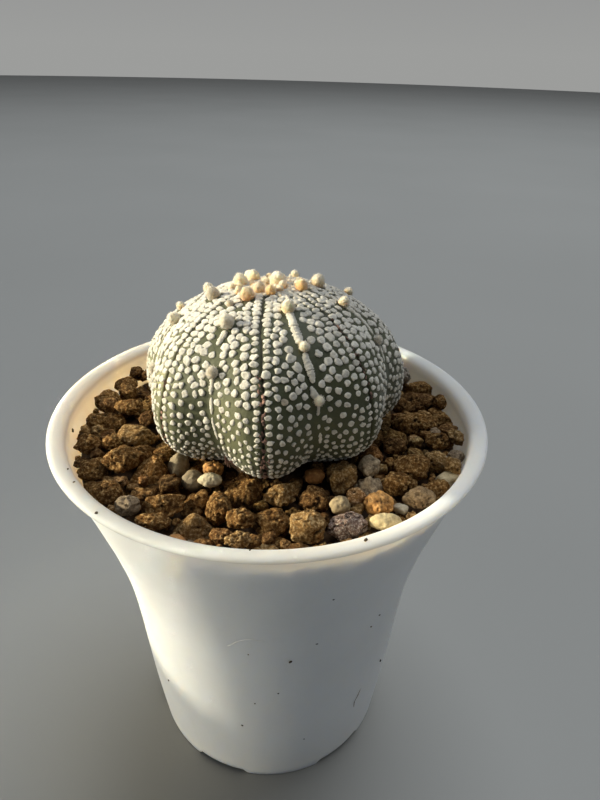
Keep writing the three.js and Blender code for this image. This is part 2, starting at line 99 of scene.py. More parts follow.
def set_lights():
    """A low warm key from the left, cut off below by its cone, a soft lamp beside it and one overhead."""
    a, e = math.radians(KEY_AZIMUTH), math.radians(KEY_ELEVATION)
    toward = Vector((math.cos(e) * math.cos(a), math.cos(e) * math.sin(a), math.sin(e)))
    across = Vector((-math.sin(a), math.cos(a), 0.0))
    raised = toward.cross(across)
    # the cones' lower edges meet low on the wall, and their spread softens upright shadow edges
    target = across * 0.025 + raised * 0.1194
    lamps = []
    for k in range(5):
        key = bpy.data.lights.new("key_%d" % k, "SPOT")
        key.energy = KEY_POWER / 5
        key.color = (1.0, 0.90, 0.655)
        key.shadow_soft_size = 0.005
        key.spot_size = 2 * math.atan(0.100 / KEY_DISTANCE)
        key.spot_blend = 0.07
        place = target + toward * KEY_DISTANCE + across * (0.016 * (k - 2))
        lamps.append(aimed("key_%d" % k, key, place, target))

    side = bpy.data.lights.new("side", "AREA")
    side.shape = "DISK"
    side.size = 0.6
    side.energy = 13.5
    side.color = (1.0, 0.925, 0.75)
    b, f = math.radians(192.0), math.radians(18.0)
    place = (1.3 * math.cos(b) * math.cos(f), 1.3 * math.sin(b) * math.cos(f), 0.08 + 1.3 * math.sin(f))
    lamps.append(aimed("side", side, place, (0.0, 0.0, 0.08)))

    front = bpy.data.lights.new("front", "AREA")
    front.shape = "DISK"
    front.size = 1.2
    front.energy = 1.6
    front.color = (0.97, 0.98, 1.0)
    b, f = math.radians(-32.0), math.radians(3.0)
    place = (1.6 * math.cos(b) * math.cos(f), 1.6 * math.sin(b) * math.cos(f), 0.06 + 1.6 * math.sin(f))
    pot_lamps = [aimed("front", front, place, (0.0, 0.0, 0.06))]

    soft = bpy.data.lights.new("fill", "AREA")
    soft.shape = "DISK"
    soft.size = 2.2
    soft.energy = 42.0
    soft.color = (0.92, 0.96, 1.0)
    aimed("fill", soft, (0.5, 0.8, 2.6), (0.0, 0.0, 0.08))

    world = bpy.data.worlds.new("studio")
    bpy.context.scene.world = world
    world.use_nodes = True
    tree = world.node_tree
    back = tree.nodes["Background"]
    back.inputs["Strength"].default_value = 1.0
    place = tree.nodes.new("ShaderNodeTexCoord")
    split = tree.nodes.new("ShaderNodeSeparateXYZ")
    ramp = tree.nodes.new("ShaderNodeValToRGB")
    stops = ((0.0, (0.335, 0.338, 0.330)), (0.10, (0.297, 0.300, 0.297)), (0.45, (0.115, 0.118, 0.122)), (1.0, (0.092, 0.096, 0.102)))
    while len(ramp.color_ramp.elements) < len(stops):
        ramp.color_ramp.elements.new(0.5)
    for e, (at, colour) in zip(ramp.color_ramp.elements, stops):
        e.position = at
        e.color = (*colour, 1)
    tree.links.new(place.outputs["Generated"], split.inputs[0])
    tree.links.new(split.outputs["Z"], ramp.inputs["Fac"])
    tree.links.new(ramp.outputs["Color"], back.inputs["Color"])
    return lamps, pot_lamps


set_camera()
object_lamps, pot_lamps = set_lights()

scene = bpy.context.scene
scene.view_settings.view_transform = "Standard"
scene.view_settings.look = "None"
scene.view_settings.exposure = 0.0
scene.view_settings.gamma = 1.0
scene.cycles.max_bounces = 8
scene.cycles.diffuse_bounces = 4
scene.cycles.glossy_bounces = 3
scene.cycles.transmission_bounces = 4
scene.cycles.caustics_reflective = False
scene.cycles.caustics_refractive = False


# ---- noise -------------------------------------------------------------------------------


def smooth(t):
    t = np.clip(t, 0.0, 1.0)
    return t * t * (3 - 2 * t)


class Noise:
    """Repeatable gradient noise and cell noise over points in millimetres."""

    def __init__(self, seed):
        rng = np.random.RandomState(seed)
        table = rng.permutation(256)
        self.table = np.concatenate([table, table, table])
        arrows = rng.normal(size=(256, 3))
        self.arrows = arrows / np.linalg.norm(arrows, axis=1, keepdims=True)
        self.jitter = rng.uniform(0.0, 1.0, size=(256, 3))

    def _hash(self, x, y, z):
        t = self.table
        return t[t[t[x & 255] + (y & 255)] + (z & 255)]

    def at(self, p):
        base = np.floor(p).astype(np.int64)
        part = p - base
        ease = part * part * part * (part * (part * 6 - 15) + 10)
        total = np.zeros(len(p))
        for dx in (0, 1):
            wx = ease[:, 0] if dx else 1 - ease[:, 0]
            for dy in (0, 1):
                wy = ease[:, 1] if dy else 1 - ease[:, 1]
                for dz in (0, 1):
                    wz = ease[:, 2] if dz else 1 - ease[:, 2]
                    arrow = self.arrows[self._hash(base[:, 0] + dx, base[:, 1] + dy, base[:, 2] + dz)]
                    dot = (
                        arrow[:, 0] * (part[:, 0] - dx)
                        + arrow[:, 1] * (part[:, 1] - dy)
                        + arrow[:, 2] * (part[:, 2] - dz)
                    )
                    total += wx * wy * wz * dot
        return total * 1.5

    def fbm(self, p, octaves=4, gain=0.5, step=2.03):
        total, weight, scale = 0.0, 1.0, 1.0
        for k in range(octaves):
            total = total + weight * self.at(p * scale + 17.3 * k)
            weight *= gain
            scale *= step
        return total

    def cells(self, p):
        """Distance to the nearest and second nearest scattered point, one to each unit cell."""
        base = np.floor(p).astype(np.int64)
        first = np.full(len(p), 9.0)
        second = np.full(len(p), 9.0)
        for dx in (-1, 0, 1):
            for dy in (-1, 0, 1):
                for dz in (-1, 0, 1):
                    cell = base + np.array([dx, dy, dz])
                    spot = cell + self.jitter[self._hash(cell[:, 0], cell[:, 1], cell[:, 2])]
                    far = np.sqrt(((p - spot) ** 2).sum(1))
                    closer = far < first
                    second = np.where(closer, first, np.minimum(second, far))
                    first = np.where(closer, far, first)
        return first, second


# ---- mesh building -----------------------------------------------------------------------


def ball(level):
    """A sphere of triangles, as unit directions and faces."""
    g = (1 + 5**0.5) / 2
    points = [
        (-1, g, 0), (1, g, 0), (-1, -g, 0), (1, -g, 0), (0, -1, g), (0, 1, g),
        (0, -1, -g), (0, 1, -g), (g, 0, -1), (g, 0, 1), (-g, 0, -1), (-g, 0, 1),
    ]
    faces = [
        (0, 11, 5), (0, 5, 1), (0, 1, 7), (0, 7, 10), (0, 10, 11), (1, 5, 9), (5, 11, 4),
        (11, 10, 2), (10, 7, 6), (7, 1, 8), (3, 9, 4), (3, 4, 2), (3, 2, 6), (3, 6, 8),
        (3, 8, 9), (4, 9, 5), (2, 4, 11), (6, 2, 10), (8, 6, 7), (9, 8, 1),
    ]
    points = np.array(points, float)
    points /= np.linalg.norm(points, axis=1, keepdims=True)
    faces = np.array(faces, np.int64)
    for _ in range(level):
        edges = np.sort(np.concatenate([faces[:, [0, 1]], faces[:, [1, 2]], faces[:, [2, 0]]]), axis=1)
        unique, back = np.unique(edges, axis=0, return_inverse=True)
        back = np.asarray(back).reshape(-1)
        middle = points[unique[:, 0]] + points[unique[:, 1]]
        middle /= np.linalg.norm(middle, axis=1, keepdims=True)
        n = len(points)
        m = len(faces)
        ab, bc, ca = back[:m] + n, back[m : 2 * m] + n, back[2 * m :] + n
        points = np.concatenate([points, middle])
        a, b, c = faces.T
        faces = np.concatenate(
            [
                np.stack([a, ab, ca], 1),
                np.stack([b, bc, ab], 1),
                np.stack([c, ca, bc], 1),
                np.stack([ab, bc, ca], 1),
            ]
        )
    return points, faces


BALLS = {level: ball(level) for level in (1, 2, 3, 4)}
built = {}


class Heap:
    """Collects several small closed shapes into one mesh."""

    def __init__(self):
        self.points, self.faces, self.tints, self.n = [], [], [], 0

    def add(self, points, faces, tint=None):
        self.points.append(points)
        if isinstance(faces, list):
            self.faces += [f + self.n for f in faces]
        else:
            self.faces.append(faces + self.n)
        if tint is None:
            tint = np.ones((len(points), 3))
        tint = np.asarray(tint, float)
        if tint.ndim == 1 and len(tint) == 3:
            tint = np.tile(tint, (len(points), 1))
        self.tints.append(tint)
        self.n += len(points)

    def piece(self, name, surface, slot, nodes=(), flat=False):
        return piece(name, np.concatenate(self.points), self.faces, np.concatenate(self.tints), surface, nodes, flat)


def piece(name, points, faces, tint, surface, nodes=(), flat=False):
    """A closed mesh that belongs to the object."""
    groups = faces if isinstance(faces, list) else [faces]
    counts = np.concatenate([np.full(len(g), g.shape[1], np.int32) for g in groups])
    loops = np.concatenate([g.reshape(-1) for g in groups]).astype(np.int32)
    starts = np.concatenate([[0], np.cumsum(counts)[:-1]]).astype(np.int32)
    mesh = bpy.data.meshes.new(name)
    mesh.vertices.add(len(points))
    mesh.vertices.foreach_set("co", (np.asarray(points) * 0.001).astype(np.float32).ravel())
    mesh.loops.add(len(loops))
    mesh.loops.foreach_set("vertex_index", loops)
    mesh.polygons.add(len(counts))
    mesh.polygons.foreach_set("loop_start", starts)
    mesh.polygons.foreach_set("use_smooth", np.full(len(counts), not flat))
    if tint is not None:
        rgba = np.ones((len(points), 4), np.float32)
        rgba[:, :3] = np.clip(tint, 0, 4)
        layer = mesh.color_attributes.new("tint", "FLOAT_COLOR", "POINT")
        layer.data.foreach_set("color", rgba.ravel())
    mesh.update(calc_edges=True)
    mesh.validate()
    mesh.materials.append(surface)
    made = bpy.data.objects.new(name, mesh)
    bpy.context.scene.collection.objects.link(made)
    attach(made, "root")
    if nodes:
        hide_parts(*nodes)
    built[name] = int((counts - 2).sum())
    return made


def frames_to_faces(rows, columns, wrap=True):
    """Quads of a grid of rows by columns; the columns close on themselves."""
    last = columns if wrap else columns - 1
    r, c = np.meshgrid(np.arange(rows - 1), np.arange(last), indexing="ij")
    r, c = r.ravel(), c.ravel()
    d = (c + 1) % columns
    return np.stack([r * columns + c, r * columns + d, (r + 1) * columns + d, (r + 1) * columns + c], 1)


def tube(path, radii, across, sides=10, flatten=1.0, rough=None, rng=None):
    """A closed tube along a path: across is the sideways direction at each point, radii the
    half width, flatten the height as a share of the width."""
    path = np.asarray(path, float)
    ahead = np.gradient(path, axis=0)
    ahead /= np.linalg.norm(ahead, axis=1, keepdims=True) + 1e-12
    side = across - (across * ahead).sum(1, keepdims=True) * ahead
    side /= np.linalg.norm(side, axis=1, keepdims=True) + 1e-12
    lift = np.cross(side, ahead)
    turn = np.linspace(0, 2 * np.pi, sides, endpoint=False)
    ring = np.cos(turn)[None, :, None] * side[:, None] + flatten * np.sin(turn)[None, :, None] * lift[:, None]
    width = np.asarray(radii)[:, None, None] * np.ones((1, sides, 1))
    if rough is not None:
        width = width * (1 + rough * rng.uniform(-1, 1, size=width.shape))
    points = path[:, None] + ring * width
    n = len(path)
    points = points.reshape(-1, 3)
    faces = frames_to_faces(n, sides)
    ends = np.stack([path[0], path[-1]])
    points = np.concatenate([points, ends])
    k = np.arange(sides)
    first = np.stack([np.full(sides, n * sides), (k + 1) % sides, k], 1)
    last = np.stack([np.full(sides, n * sides + 1), (n - 1) * sides + k, (n - 1) * sides + (k + 1) % sides], 1)
    return points, [faces, first, last]


# ---- materials ---------------------------------------------------------------------------


class Surface:
    """A small helper round one node tree."""

    def __init__(self, name):
        self.material = bpy.data.materials.new(name)
        self.material.use_nodes = True
        self.tree = self.material.node_tree
        self.shader = self.tree.nodes["Principled BSDF"]
        place = self.tree.nodes.new("ShaderNodeTexCoord")
        scale = self.tree.nodes.new("ShaderNodeVectorMath")
        scale.operation = "SCALE"
        scale.inputs["Scale"].default_value = 1000.0
        self.tree.links.new(place.outputs["Object"], scale.inputs[0])
        self.mm = scale.outputs["Vector"]

    def link(self, a, b):
        self.tree.links.new(a, b)

    def noise(self, scale, detail=3.0, rough=0.55, shift=0.0, distort=0.0):
        n = self.tree.nodes.new("ShaderNodeTexNoise")
        n.inputs["Scale"].default_value = scale
        n.inputs["Detail"].default_value = detail
        n.inputs["Roughness"].default_value = rough
        n.inputs["Distortion"].default_value = distort
        where = self.mm
        if shift:
            move = self.tree.nodes.new("ShaderNodeVectorMath")
            move.operation = "ADD"
            move.inputs[1].default_value = (shift, -0.7 * shift, 1.3 * shift)
            self.link(self.mm, move.inputs[0])
            where = move.outputs["Vector"]
        self.link(where, n.inputs["Vector"])
        return n.outputs["Fac"]

    def stretched_noise(self, scales, detail=3.0, rough=0.55):
        n = self.tree.nodes.new("ShaderNodeTexNoise")
        n.inputs["Scale"].default_value = 1.0
        n.inputs["Detail"].default_value = detail
        n.inputs["Roughness"].default_value = rough
        m = self.tree.nodes.new("ShaderNodeVectorMath")
        m.operation = "MULTIPLY"
        m.inputs[1].default_value = scales
        self.link(self.mm, m.inputs[0])
        self.link(m.outputs["Vector"], n.inputs["Vector"])
        return n.outputs["Fac"]

    def cells(self, scale, feature="F1"):
        n = self.tree.nodes.new("ShaderNodeTexVoronoi")
        n.feature = feature
        n.inputs["Scale"].default_value = scale
        self.link(self.mm, n.inputs["Vector"])
        return n.outputs["Distance"]

    def ramp(self, value, stops):
        n = self.tree.nodes.new("ShaderNodeValToRGB")
        r = n.color_ramp
        while len(r.elements) < len(stops):
            r.elements.new(0.5)
        for e, (at, colour) in zip(r.elements, stops):
            e.position = at
            e.color = (*colour, 1.0) if len(colour) == 3 else colour
        self.link(value, n.inputs["Fac"])
        return n.outputs["Color"]

    def span(self, value, low, high, to_low, to_high):
        n = self.tree.nodes.new("ShaderNodeMapRange")
        n.inputs["From Min"].default_value = low
        n.inputs["From Max"].default_value = high
        n.inputs["To Min"].default_value = to_low
        n.inputs["To Max"].default_value = to_high
        self.link(value, n.inputs["Value"])
        return n.outputs["Result"]

    def mix(self, factor, a, b, kind="MIX"):
        n = self.tree.nodes.new("ShaderNodeMix")
        n.data_type = "RGBA"
        n.blend_type = kind
        if isinstance(factor, (int, float)):
            n.inputs[0].default_value = factor
        else:
            self.link(factor, n.inputs[0])
        for i, v in ((6, a), (7, b)):
            if isinstance(v, tuple):
                n.inputs[i].default_value = (*v, 1.0)
            else:
                self.link(v, n.inputs[i])
        return n.outputs[2]

    def tinted(self, colour, amount=1.0):
        """colour times the mesh's own shade."""
        n = self.tree.nodes.new("ShaderNodeVertexColor")
        n.layer_name = "tint"
        return self.mix(amount, colour, n.outputs["Color"], "MULTIPLY")

    def math(self, kind, a, b):
        n = self.tree.nodes.new("ShaderNodeMath")
        n.operation = kind
        for i, v in ((0, a), (1, b)):
            if isinstance(v, (int, float)):
                n.inputs[i].default_value = v
            else:
                self.link(v, n.inputs[i])
        return n.outputs[0]

    def bump(self, height, distance, strength=1.0, under=None):
        n = self.tree.nodes.new("ShaderNodeBump")
        n.inputs["Strength"].default_value = strength
        n.inputs["Distance"].default_value = distance
        self.link(height, n.inputs["Height"])
        if under is not None:
            self.link(under, n.inputs["Normal"])
        return n.outputs["Normal"]

    def finish(self, colour, rough, normal=None, specular=0.5, sheen=0.0, glow=0.0, radius=(1, 1, 1), depth=0.001):
        s = self.shader
        self.link(colour, s.inputs["Base Color"])
        if isinstance(rough, (int, float)):
            s.inputs["Roughness"].default_value = rough
        else:
            self.link(rough, s.inputs["Roughness"])
        if normal is not None:
            self.link(normal, s.inputs["Normal"])
        s.inputs["Specular IOR Level"].default_value = specular
        if sheen:
            s.inputs["Sheen Weight"].default_value = sheen
            s.inputs["Sheen Roughness"].default_value = 0.5
        if glow:
            s.inputs["Subsurface Weight"].default_value = glow
            s.inputs["Subsurface Radius"].default_value = radius
            s.inputs["Subsurface Scale"].default_value = depth
        return self.material


def plastic():
    s = Surface("pot_plastic")
    wide = s.noise(0.035, 3, 0.5)
    fine = s.noise(0.9, 4, 0.6, 9.0)
    streak = s.stretched_noise((0.5, 0.5, 0.03), 4, 0.6)
    colour = s.ramp(wide, [(0.3, (0.745, 0.735, 0.700)), (0.7, (0.79, 0.78, 0.748))])
    colour = s.mix(s.span(streak, 0.58, 0.80, 0.0, 0.16), colour, (0.66, 0.64, 0.58))
    colour = s.tinted(colour)
    rough = s.span(s.noise(0.22, 4, 0.6, 21.0), 0.3, 0.7, 0.50, 0.62)
    normal = s.bump(s.noise(0.16, 2, 0.5, 4.0), 0.00016, 0.6)
    normal = s.bump(fine, 0.00003, 0.5, normal)
    return s.finish(colour, rough, normal, 0.2, 0, 1.0, (1.0, 0.83, 0.62), 0.0075)


def skin():
    s = Surface("cactus_skin")
    patch = s.noise(0.16, 4, 0.6)
    grain = s.noise(1.9, 4, 0.65, 5.0)
    colour = s.ramp(patch, [(0.30, (0.043, 0.050, 0.023)), (0.70, (0.074, 0.082, 0.038))])
    colour = s.mix(s.span(grain, 0.45, 0.72, 0.0, 0.50), colour, (0.092, 0.098, 0.052))
    pale = s.cells(2.6)
    colour = s.mix(s.span(pale, 0.0, 0.15, 0.40, 0.0), colour, (0.17, 0.17, 0.115))
    colour = s.tinted(colour)
    rough = s.span(grain, 0.3, 0.7, 0.48, 0.66)
    normal = s.bump(grain, 0.00016, 0.7)
    normal = s.bump(s.noise(5.0, 3, 0.6, 2.0), 0.00006, 0.6, normal)
    return s.finish(colour, rough, normal, 0.32, 0.10, 0.10, (0.9, 1.0, 0.5), 0.0008)


def felt(name, dark, light, bump=0.0002, sheen=0.25, glow=0.18, mottle=1.0):
    s = Surface(name)
    wide = s.noise(0.55, 3, 0.6)
    fine = s.noise(5.5, 4, 0.7, 3.0)
    colour = s.ramp(wide, [(0.32, dark), (0.66, light)])
    colour = s.mix(s.span(fine, 0.35, 0.62, 0.38 * mottle, 0.0), colour, tuple(0.62 * c for c in dark))
    clump = s.noise(2.1, 3, 0.65, 8.0)
    colour = s.mix(s.span(clump, 0.36, 0.60, 0.34 * mottle, 0.0), colour, tuple(0.60 * c for c in dark))
    colour = s.tinted(colour)
    normal = s.bump(clump, 1.6 * bump, 0.7)
    normal = s.bump(fine, bump, 0.8, normal)
    return s.finish(colour, 0.92, normal, 0.2, sheen, glow, (1.0, 0.88, 0.72), 0.0006 if glow < 0.4 else 0.0010)


def stone(name, deep, dark, light, dust, grain=1.0, bump=0.0005, rough=(0.82, 0.97), specular=0.25, pits=0.5):
    s = Surface(name)
    wide = s.noise(0.42 * grain, 4, 0.62)
    mid = s.noise(1.7 * grain, 5, 0.68, 7.0)
    fine = s.noise(6.5, 4, 0.7, 13.0)
    hole = s.cells(2.3 * grain)
    colour = s.ramp(wide, [(0.28, dark), (0.72, light)])
    # the colour follows the bump's height: the deep colour in its hollows is painted shade, the dust colour on its high
    # parts is partly dust, partly painted light
    colour = s.mix(s.span(mid, 0.49, 0.72, 0.0, 0.88), colour, dust)
    colour = s.mix(s.span(mid, 0.26, 0.44, 0.8, 0.0), colour, deep)
    colour = s.mix(s.span(fine, 0.30, 0.50, 0.35, 0.0), colour, deep)
    colour = s.tinted(colour)
    height = s.math("ADD", s.math("MULTIPLY", mid, 1.0), s.math("MULTIPLY", s.span(hole, 0.0, 0.30, -1.0, 0.0), pits))
    normal = s.bump(height, bump, 0.9)
    normal = s.bump(fine, 0.00014, 0.8, normal)
    return s.finish(colour, s.span(mid, 0.3, 0.7, *rough), normal, specular)


M = {
    "pot": plastic(),
    "soil": felt("soil_grain", (0.055, 0.042, 0.030), (0.12, 0.092, 0.062), 0.0002, 0.0, 0.0),
    "burr": felt("plastic_burr", (0.70, 0.69, 0.65), (0.86, 0.85, 0.81), 0.00005, 0.4, 0.3, 0.1),
    "skin": skin(),
    "fleck": felt("cactus_fleck_felt", (0.72, 0.70, 0.62), (0.96, 0.94, 0.86), 0.00030, 0.45, 0.22, 0.75),
    "wool": felt("cactus_wool", (0.86, 0.79, 0.65), (0.98, 0.93, 0.80), 0.00016, 1.0, 0.70, 0.15),
    "cork": felt("cactus_cork", (0.13, 0.085, 0.075), (0.27, 0.185, 0.155), 0.0003, 0.1, 0.0),
    "akadama_brown": stone("akadama_brown", (0.030, 0.013, 0.0038), (0.104, 0.0460, 0.0125), (0.188, 0.0925, 0.0265), (0.70, 0.465, 0.200), 1.0, 0.0007, specular=0.10),
    "akadama_tan": stone("akadama_tan", (0.055, 0.027, 0.008), (0.155, 0.0815, 0.0260), (0.275, 0.157, 0.0560), (0.78, 0.58, 0.305), 1.0, 0.0007, specular=0.10),
    "akadama_dark": stone("akadama_dark", (0.019, 0.0085, 0.003), (0.059, 0.0270, 0.0086), (0.118, 0.0565, 0.0180), (0.43, 0.265, 0.110), 1.0, 0.0007, specular=0.10),
    "pebble_golden": stone("pebble_golden", (0.18, 0.075, 0.020), (0.35, 0.17, 0.052), (0.50, 0.275, 0.095), (0.66, 0.43, 0.19), 0.8, 0.00022, (0.55, 0.8), 0.25, 0.25),
    "pebble_cream": stone("pebble_cream", (0.20, 0.165, 0.11), (0.34, 0.295, 0.205), (0.52, 0.47, 0.35), (0.64, 0.60, 0.48), 0.8, 0.00016, (0.5, 0.78), 0.3, 0.15),
    "pumice_grey": stone("pumice_grey", (0.10, 0.082, 0.066), (0.25, 0.215, 0.175), (0.40, 0.35, 0.29), (0.58, 0.53, 0.46), 1.2, 0.0006, (0.85, 0.98), 0.12, 0.9),
    "lava_plum": stone("lava_plum", (0.050, 0.027, 0.021), (0.150, 0.090, 0.070), (0.27, 0.185, 0.145), (0.88, 0.81, 0.70), 1.5, 0.0007, (0.85, 0.98), 0.12, 1.0),
    "bed": stone("granule_mix", (0.015, 0.009, 0.005), (0.05, 0.028, 0.014), (0.10, 0.055, 0.026), (0.17, 0.10, 0.05)),
}


# ---- pot ---------------------------------------------------------------------------------

FOOT_RADIUS = 32.72
FOOT_RING = 1.8
BASE_UNDERSIDE = 3.0
BASE_TOP = 4.5
WALL = 1.4
NOTCHES = 6
NOTCH_HEIGHT = 1.25
NOTCH_WIDTH = 24.5
FIRST_NOTCH = -113.75
DRAIN_RADIUS = 3.5
DRAIN_CIRCLE = 20.0

WALL_OUTSIDE = np.array(
    [
        (32.72, 0.5), (33.75, 10.0), (34.81, 21.3), (35.55, 31.0), (36.19, 40.6), (36.85, 48.6),
        (37.74, 56.1), (38.82, 62.2), (40.14, 67.8), (41.36, 72.7), (42.73, 77.4), (43.86, 81.4),
        (44.99, 85.2), (45.90, 88.2), (46.79, 91.0), (47.50, 93.4), (47.95, 94.7),
    ]
)


def smooth_line(knots, at):
    """A smooth curve through (value, position) knots, by cubic Hermite pieces."""
    r, z = knots[:, 0], knots[:, 1]
    slope = np.gradient(r, z)
    slope = np.convolve(np.pad(slope, 1, mode="edge"), [0.25, 0.5, 0.25], mode="valid")
    i = np.clip(np.searchsorted(z, at) - 1, 0, len(z) - 2)
    h = z[i + 1] - z[i]
    t = np.clip((at - z[i]) / h, 0, 1)
    return (
        (2 * t**3 - 3 * t**2 + 1) * r[i]
        + (t**3 - 2 * t**2 + t) * h * slope[i]
        + (-2 * t**3 + 3 * t**2) * r[i + 1]
        + (t**3 - t**2) * h * slope[i + 1]
    )


def outside_radius(z):
    return smooth_line(WALL_OUTSIDE, np.asarray(z, float))


def inside_radius(z):
    return outside_radius(z) - WALL


def make_pot():
    around = 224
    heights = np.concatenate([[0.0, 0.12, 0.5, 1.4, 2.6], np.linspace(4.0, 94.4, 40)])
    lower = [(outside_radius(max(z, 0.5)) - (0.30 if z < 0.05 else 0.07 if z < 0.3 else 0.0), z) for z in heights]
    bead = [
        (48.03, 95.1), (48.10, 95.7), (48.18, 96.0), (48.38, 96.08), (48.75, 96.10), (49.10, 96.12), (49.40, 96.18),
        (49.68, 96.31), (49.89, 96.53), (50.0, 96.85), (49.96, 97.10), (49.82, 97.29), (49.55, 97.43), (49.20, 97.50),
        (48.80, 97.50), (48.35, 97.43), (47.90, 97.34), (47.40, 97.20), (46.95, 97.00), (46.58, 96.68), (46.28, 96.15),
        (46.08, 95.3), (46.02, 94.3),
    ]
    inner_z = np.concatenate([np.linspace(93.2, 62.0, 16), np.linspace(56.0, 6.5, 8)])
    inner = [(float(inside_radius(z)), z) for z in inner_z]
    inner += [(inside_radius(5.2) - 0.25, 5.3), (inside_radius(5.2) - 0.9, 4.65), (inside_radius(5.2) - 1.6, BASE_TOP)]
    ring = FOOT_RADIUS - FOOT_RING
    under = [(ring - 0.8, BASE_UNDERSIDE), (ring - 0.25, 2.85), (ring - 0.08, 2.4), (ring, 0.35), (ring + 0.25, 0.0), (FOOT_RADIUS - 0.75, 0.0)]
    profile = np.array(under + lower + bead + inner, float)
    turn = np.linspace(0, 2 * np.pi, around, endpoint=False)
    rows = len(profile)
    r = np.repeat(profile[:, :1], around, 1)
    z = np.repeat(profile[:, 1:], around, 1)

    # the notches lift the foot's lower edge
    angle = np.degrees(turn)
    off = (angle[None] - FIRST_NOTCH + 30) % 60 - 30
    lift = NOTCH_HEIGHT * smooth((NOTCH_WIDTH / 2 + 0.55 - np.abs(off)) / 1.1)
    low = np.clip(1 - z / 3.0, 0, 1) * (z < 3.0)
    is_under = np.zeros((rows, 1))
    is_under[1:] = 1
    z = z + lift * low * is_under

    # the moulding: a soft unevenness of the wall and the bead's lower edge
    n = Noise(5)
    around_points = np.stack([np.cos(turn) * 6, np.sin(turn) * 6, np.zeros(around)], 1)
    wobble = n.fbm(around_points, 4)
    bead_rows = (profile[:, 1] > 95.95) & (profile[:, 1] < 96.25) & (np.arange(rows) < len(under) + len(lower) + 8)
    z = z + 0.10 * wobble[None] * bead_rows[:, None]
    fine = n.fbm(around_points * 5 + 40, 3)
    r = r - 0.06 * np.abs(fine[None]) * bead_rows[:, None]
    x, y = r * np.cos(turn), r * np.sin(turn)
    points = np.stack([x.ravel(), y.ravel(), z.ravel()], 1)
    p = points * np.array([0.05, 0.05, 0.03])
    soft = n.fbm(p + 3, 2)
    wall = ((profile[:, 1] > 3) & (profile[:, 1] < 94)).repeat(around)
    radial = np.stack([points[:, 0], points[:, 1], np.zeros(len(points))], 1)
    radial /= np.linalg.norm(radial, axis=1, keepdims=True) + 1e-9
    points = points + radial * (0.10 * soft * wall)[:, None]

    faces = [frames_to_faces(rows, around)[:, ::-1]]

    # raised base with its drain holes: two flat sheets and the holes' walls
    holes = [(0.0, 0.0)]
    for i in range(6):
        a = math.radians(FIRST_NOTCH + (i + 0.5) * 60)
        holes.append((DRAIN_CIRCLE * math.cos(a), DRAIN_CIRCLE * math.sin(a)))
    sides = 40
    loop = np.linspace(0, 2 * np.pi, sides, endpoint=False)
    hole_rings = [np.stack([hx + DRAIN_RADIUS * np.cos(loop), hy + DRAIN_RADIUS * np.sin(loop)], 1) for hx, hy in holes]
    sheets = []
    for row, level, up in ((0, BASE_UNDERSIDE, False), (rows - 1, BASE_TOP, True)):
        rim = points[row * around : (row + 1) * around, :2]
        flat = [Vector(p) for p in rim.tolist()]
        edges = [(i, (i + 1) % around) for i in range(around)]
        for ring_points in hole_rings:
            s = len(flat)
            flat += [Vector(p) for p in ring_points.tolist()]
            edges += [(s + i, s + (i + 1) % sides) for i in range(sides)]
        verts, _, tris, origin, _, _ = delaunay_2d_cdt(flat, edges, [], 0, 1e-6)
        place = np.array([list(v) for v in verts])
        tris = np.array([t for t in tris if len(t) == 3], np.int64)
        middle = place[tris].mean(1)
        keep = np.hypot(middle[:, 0], middle[:, 1]) < np.hypot(*rim.T).min() * 0.9999
        for hx, hy in holes:
            keep &= np.hypot(middle[:, 0] - hx, middle[:, 1] - hy) > DRAIN_RADIUS * 0.99
        back = np.full(len(verts), -1)
        for i, o in enumerate(origin):
            if len(o):
                back[i] = o[0]
        tris = back[tris[keep]]
        a, b, c = (np.array([list(flat[k]) for k in tris[:, j]]) for j in range(3))
        area = (b[:, 0] - a[:, 0]) * (c[:, 1] - a[:, 1]) - (b[:, 1] - a[:, 1]) * (c[:, 0] - a[:, 0])
        turned = (area > 0) != up
        tris[turned] = tris[turned][:, ::-1]
        base = len(points)
        ring_xyz = np.array([[p[0], p[1], level] for p in flat[around:]])
        points = np.concatenate([points, ring_xyz])
        tris = np.where(tris < around, tris + row * around, tris - around + base)
        faces.append(tris)
        sheets.append(base)
    k = np.arange(sides)
    for i in range(len(holes)):
        low0 = sheets[0] + i * sides
        top0 = sheets[1] + i * sides
        nxt = (k + 1) % sides
        faces.append(np.stack([low0 + k, top0 + k, top0 + nxt, low0 + nxt], 1))

    # tint: a little dust low on the inside wall
    inside = np.hypot(points[:, 0], points[:, 1]) < np.where(points[:, 2] > 95.1, 48.3, np.where(points[:, 2] > 5, outside_radius(np.clip(points[:, 2], 0.5, 94.6)) - 0.7, 0))
    dust = inside * smooth((95.2 - points[:, 2]) / 4.5) * (0.55 + 0.6 * n.fbm(points * 0.35, 3))
    dust = np.clip(dust, 0, 1)[:, None]
    tint = (1 - dust) + dust * np.array([0.92, 0.83, 0.75])
    # painted shade and light: the inside is darker and less yellow than the outside, darker still on the left and
    # lighter on the right
    inside_painted_light = (inside * smooth((97.3 - points[:, 2]) / 1.2))[:, None]
    leftward = np.clip(-points[:, :1] / 46.0, -1.0, 1.0)
    tint = tint * ((1 - inside_painted_light) + inside_painted_light * np.array([0.90, 0.875, 0.89]) * (1 - 0.19 * leftward))
    # painted shade: the rolled rim is darker all round, and darker still towards the left, where the key lamp lights it
    rim_painted_shade = smooth((points[:, 2] - 95.6) / 0.5)[:, None]
    tint = tint * (1 - rim_painted_shade * (0.09 + 0.19 * smooth((32.0 - points[:, :1]) / 30.0)))
    made = piece("pot_shell", points, faces, tint, M["pot"], ["pot"])
    # the base's two sheets are flat, with crisp edges at the holes
    mesh = made.data
    upright, middle = (np.zeros(3 * len(mesh.polygons), np.float32) for _ in range(2))
    mesh.polygons.foreach_get("normal", upright)
    mesh.polygons.foreach_get("center", middle)
    mesh.polygons.foreach_set("use_smooth", (np.abs(upright[2::3]) < 0.99) | (middle[2::3] > 0.006))
    mesh.update()
    return made



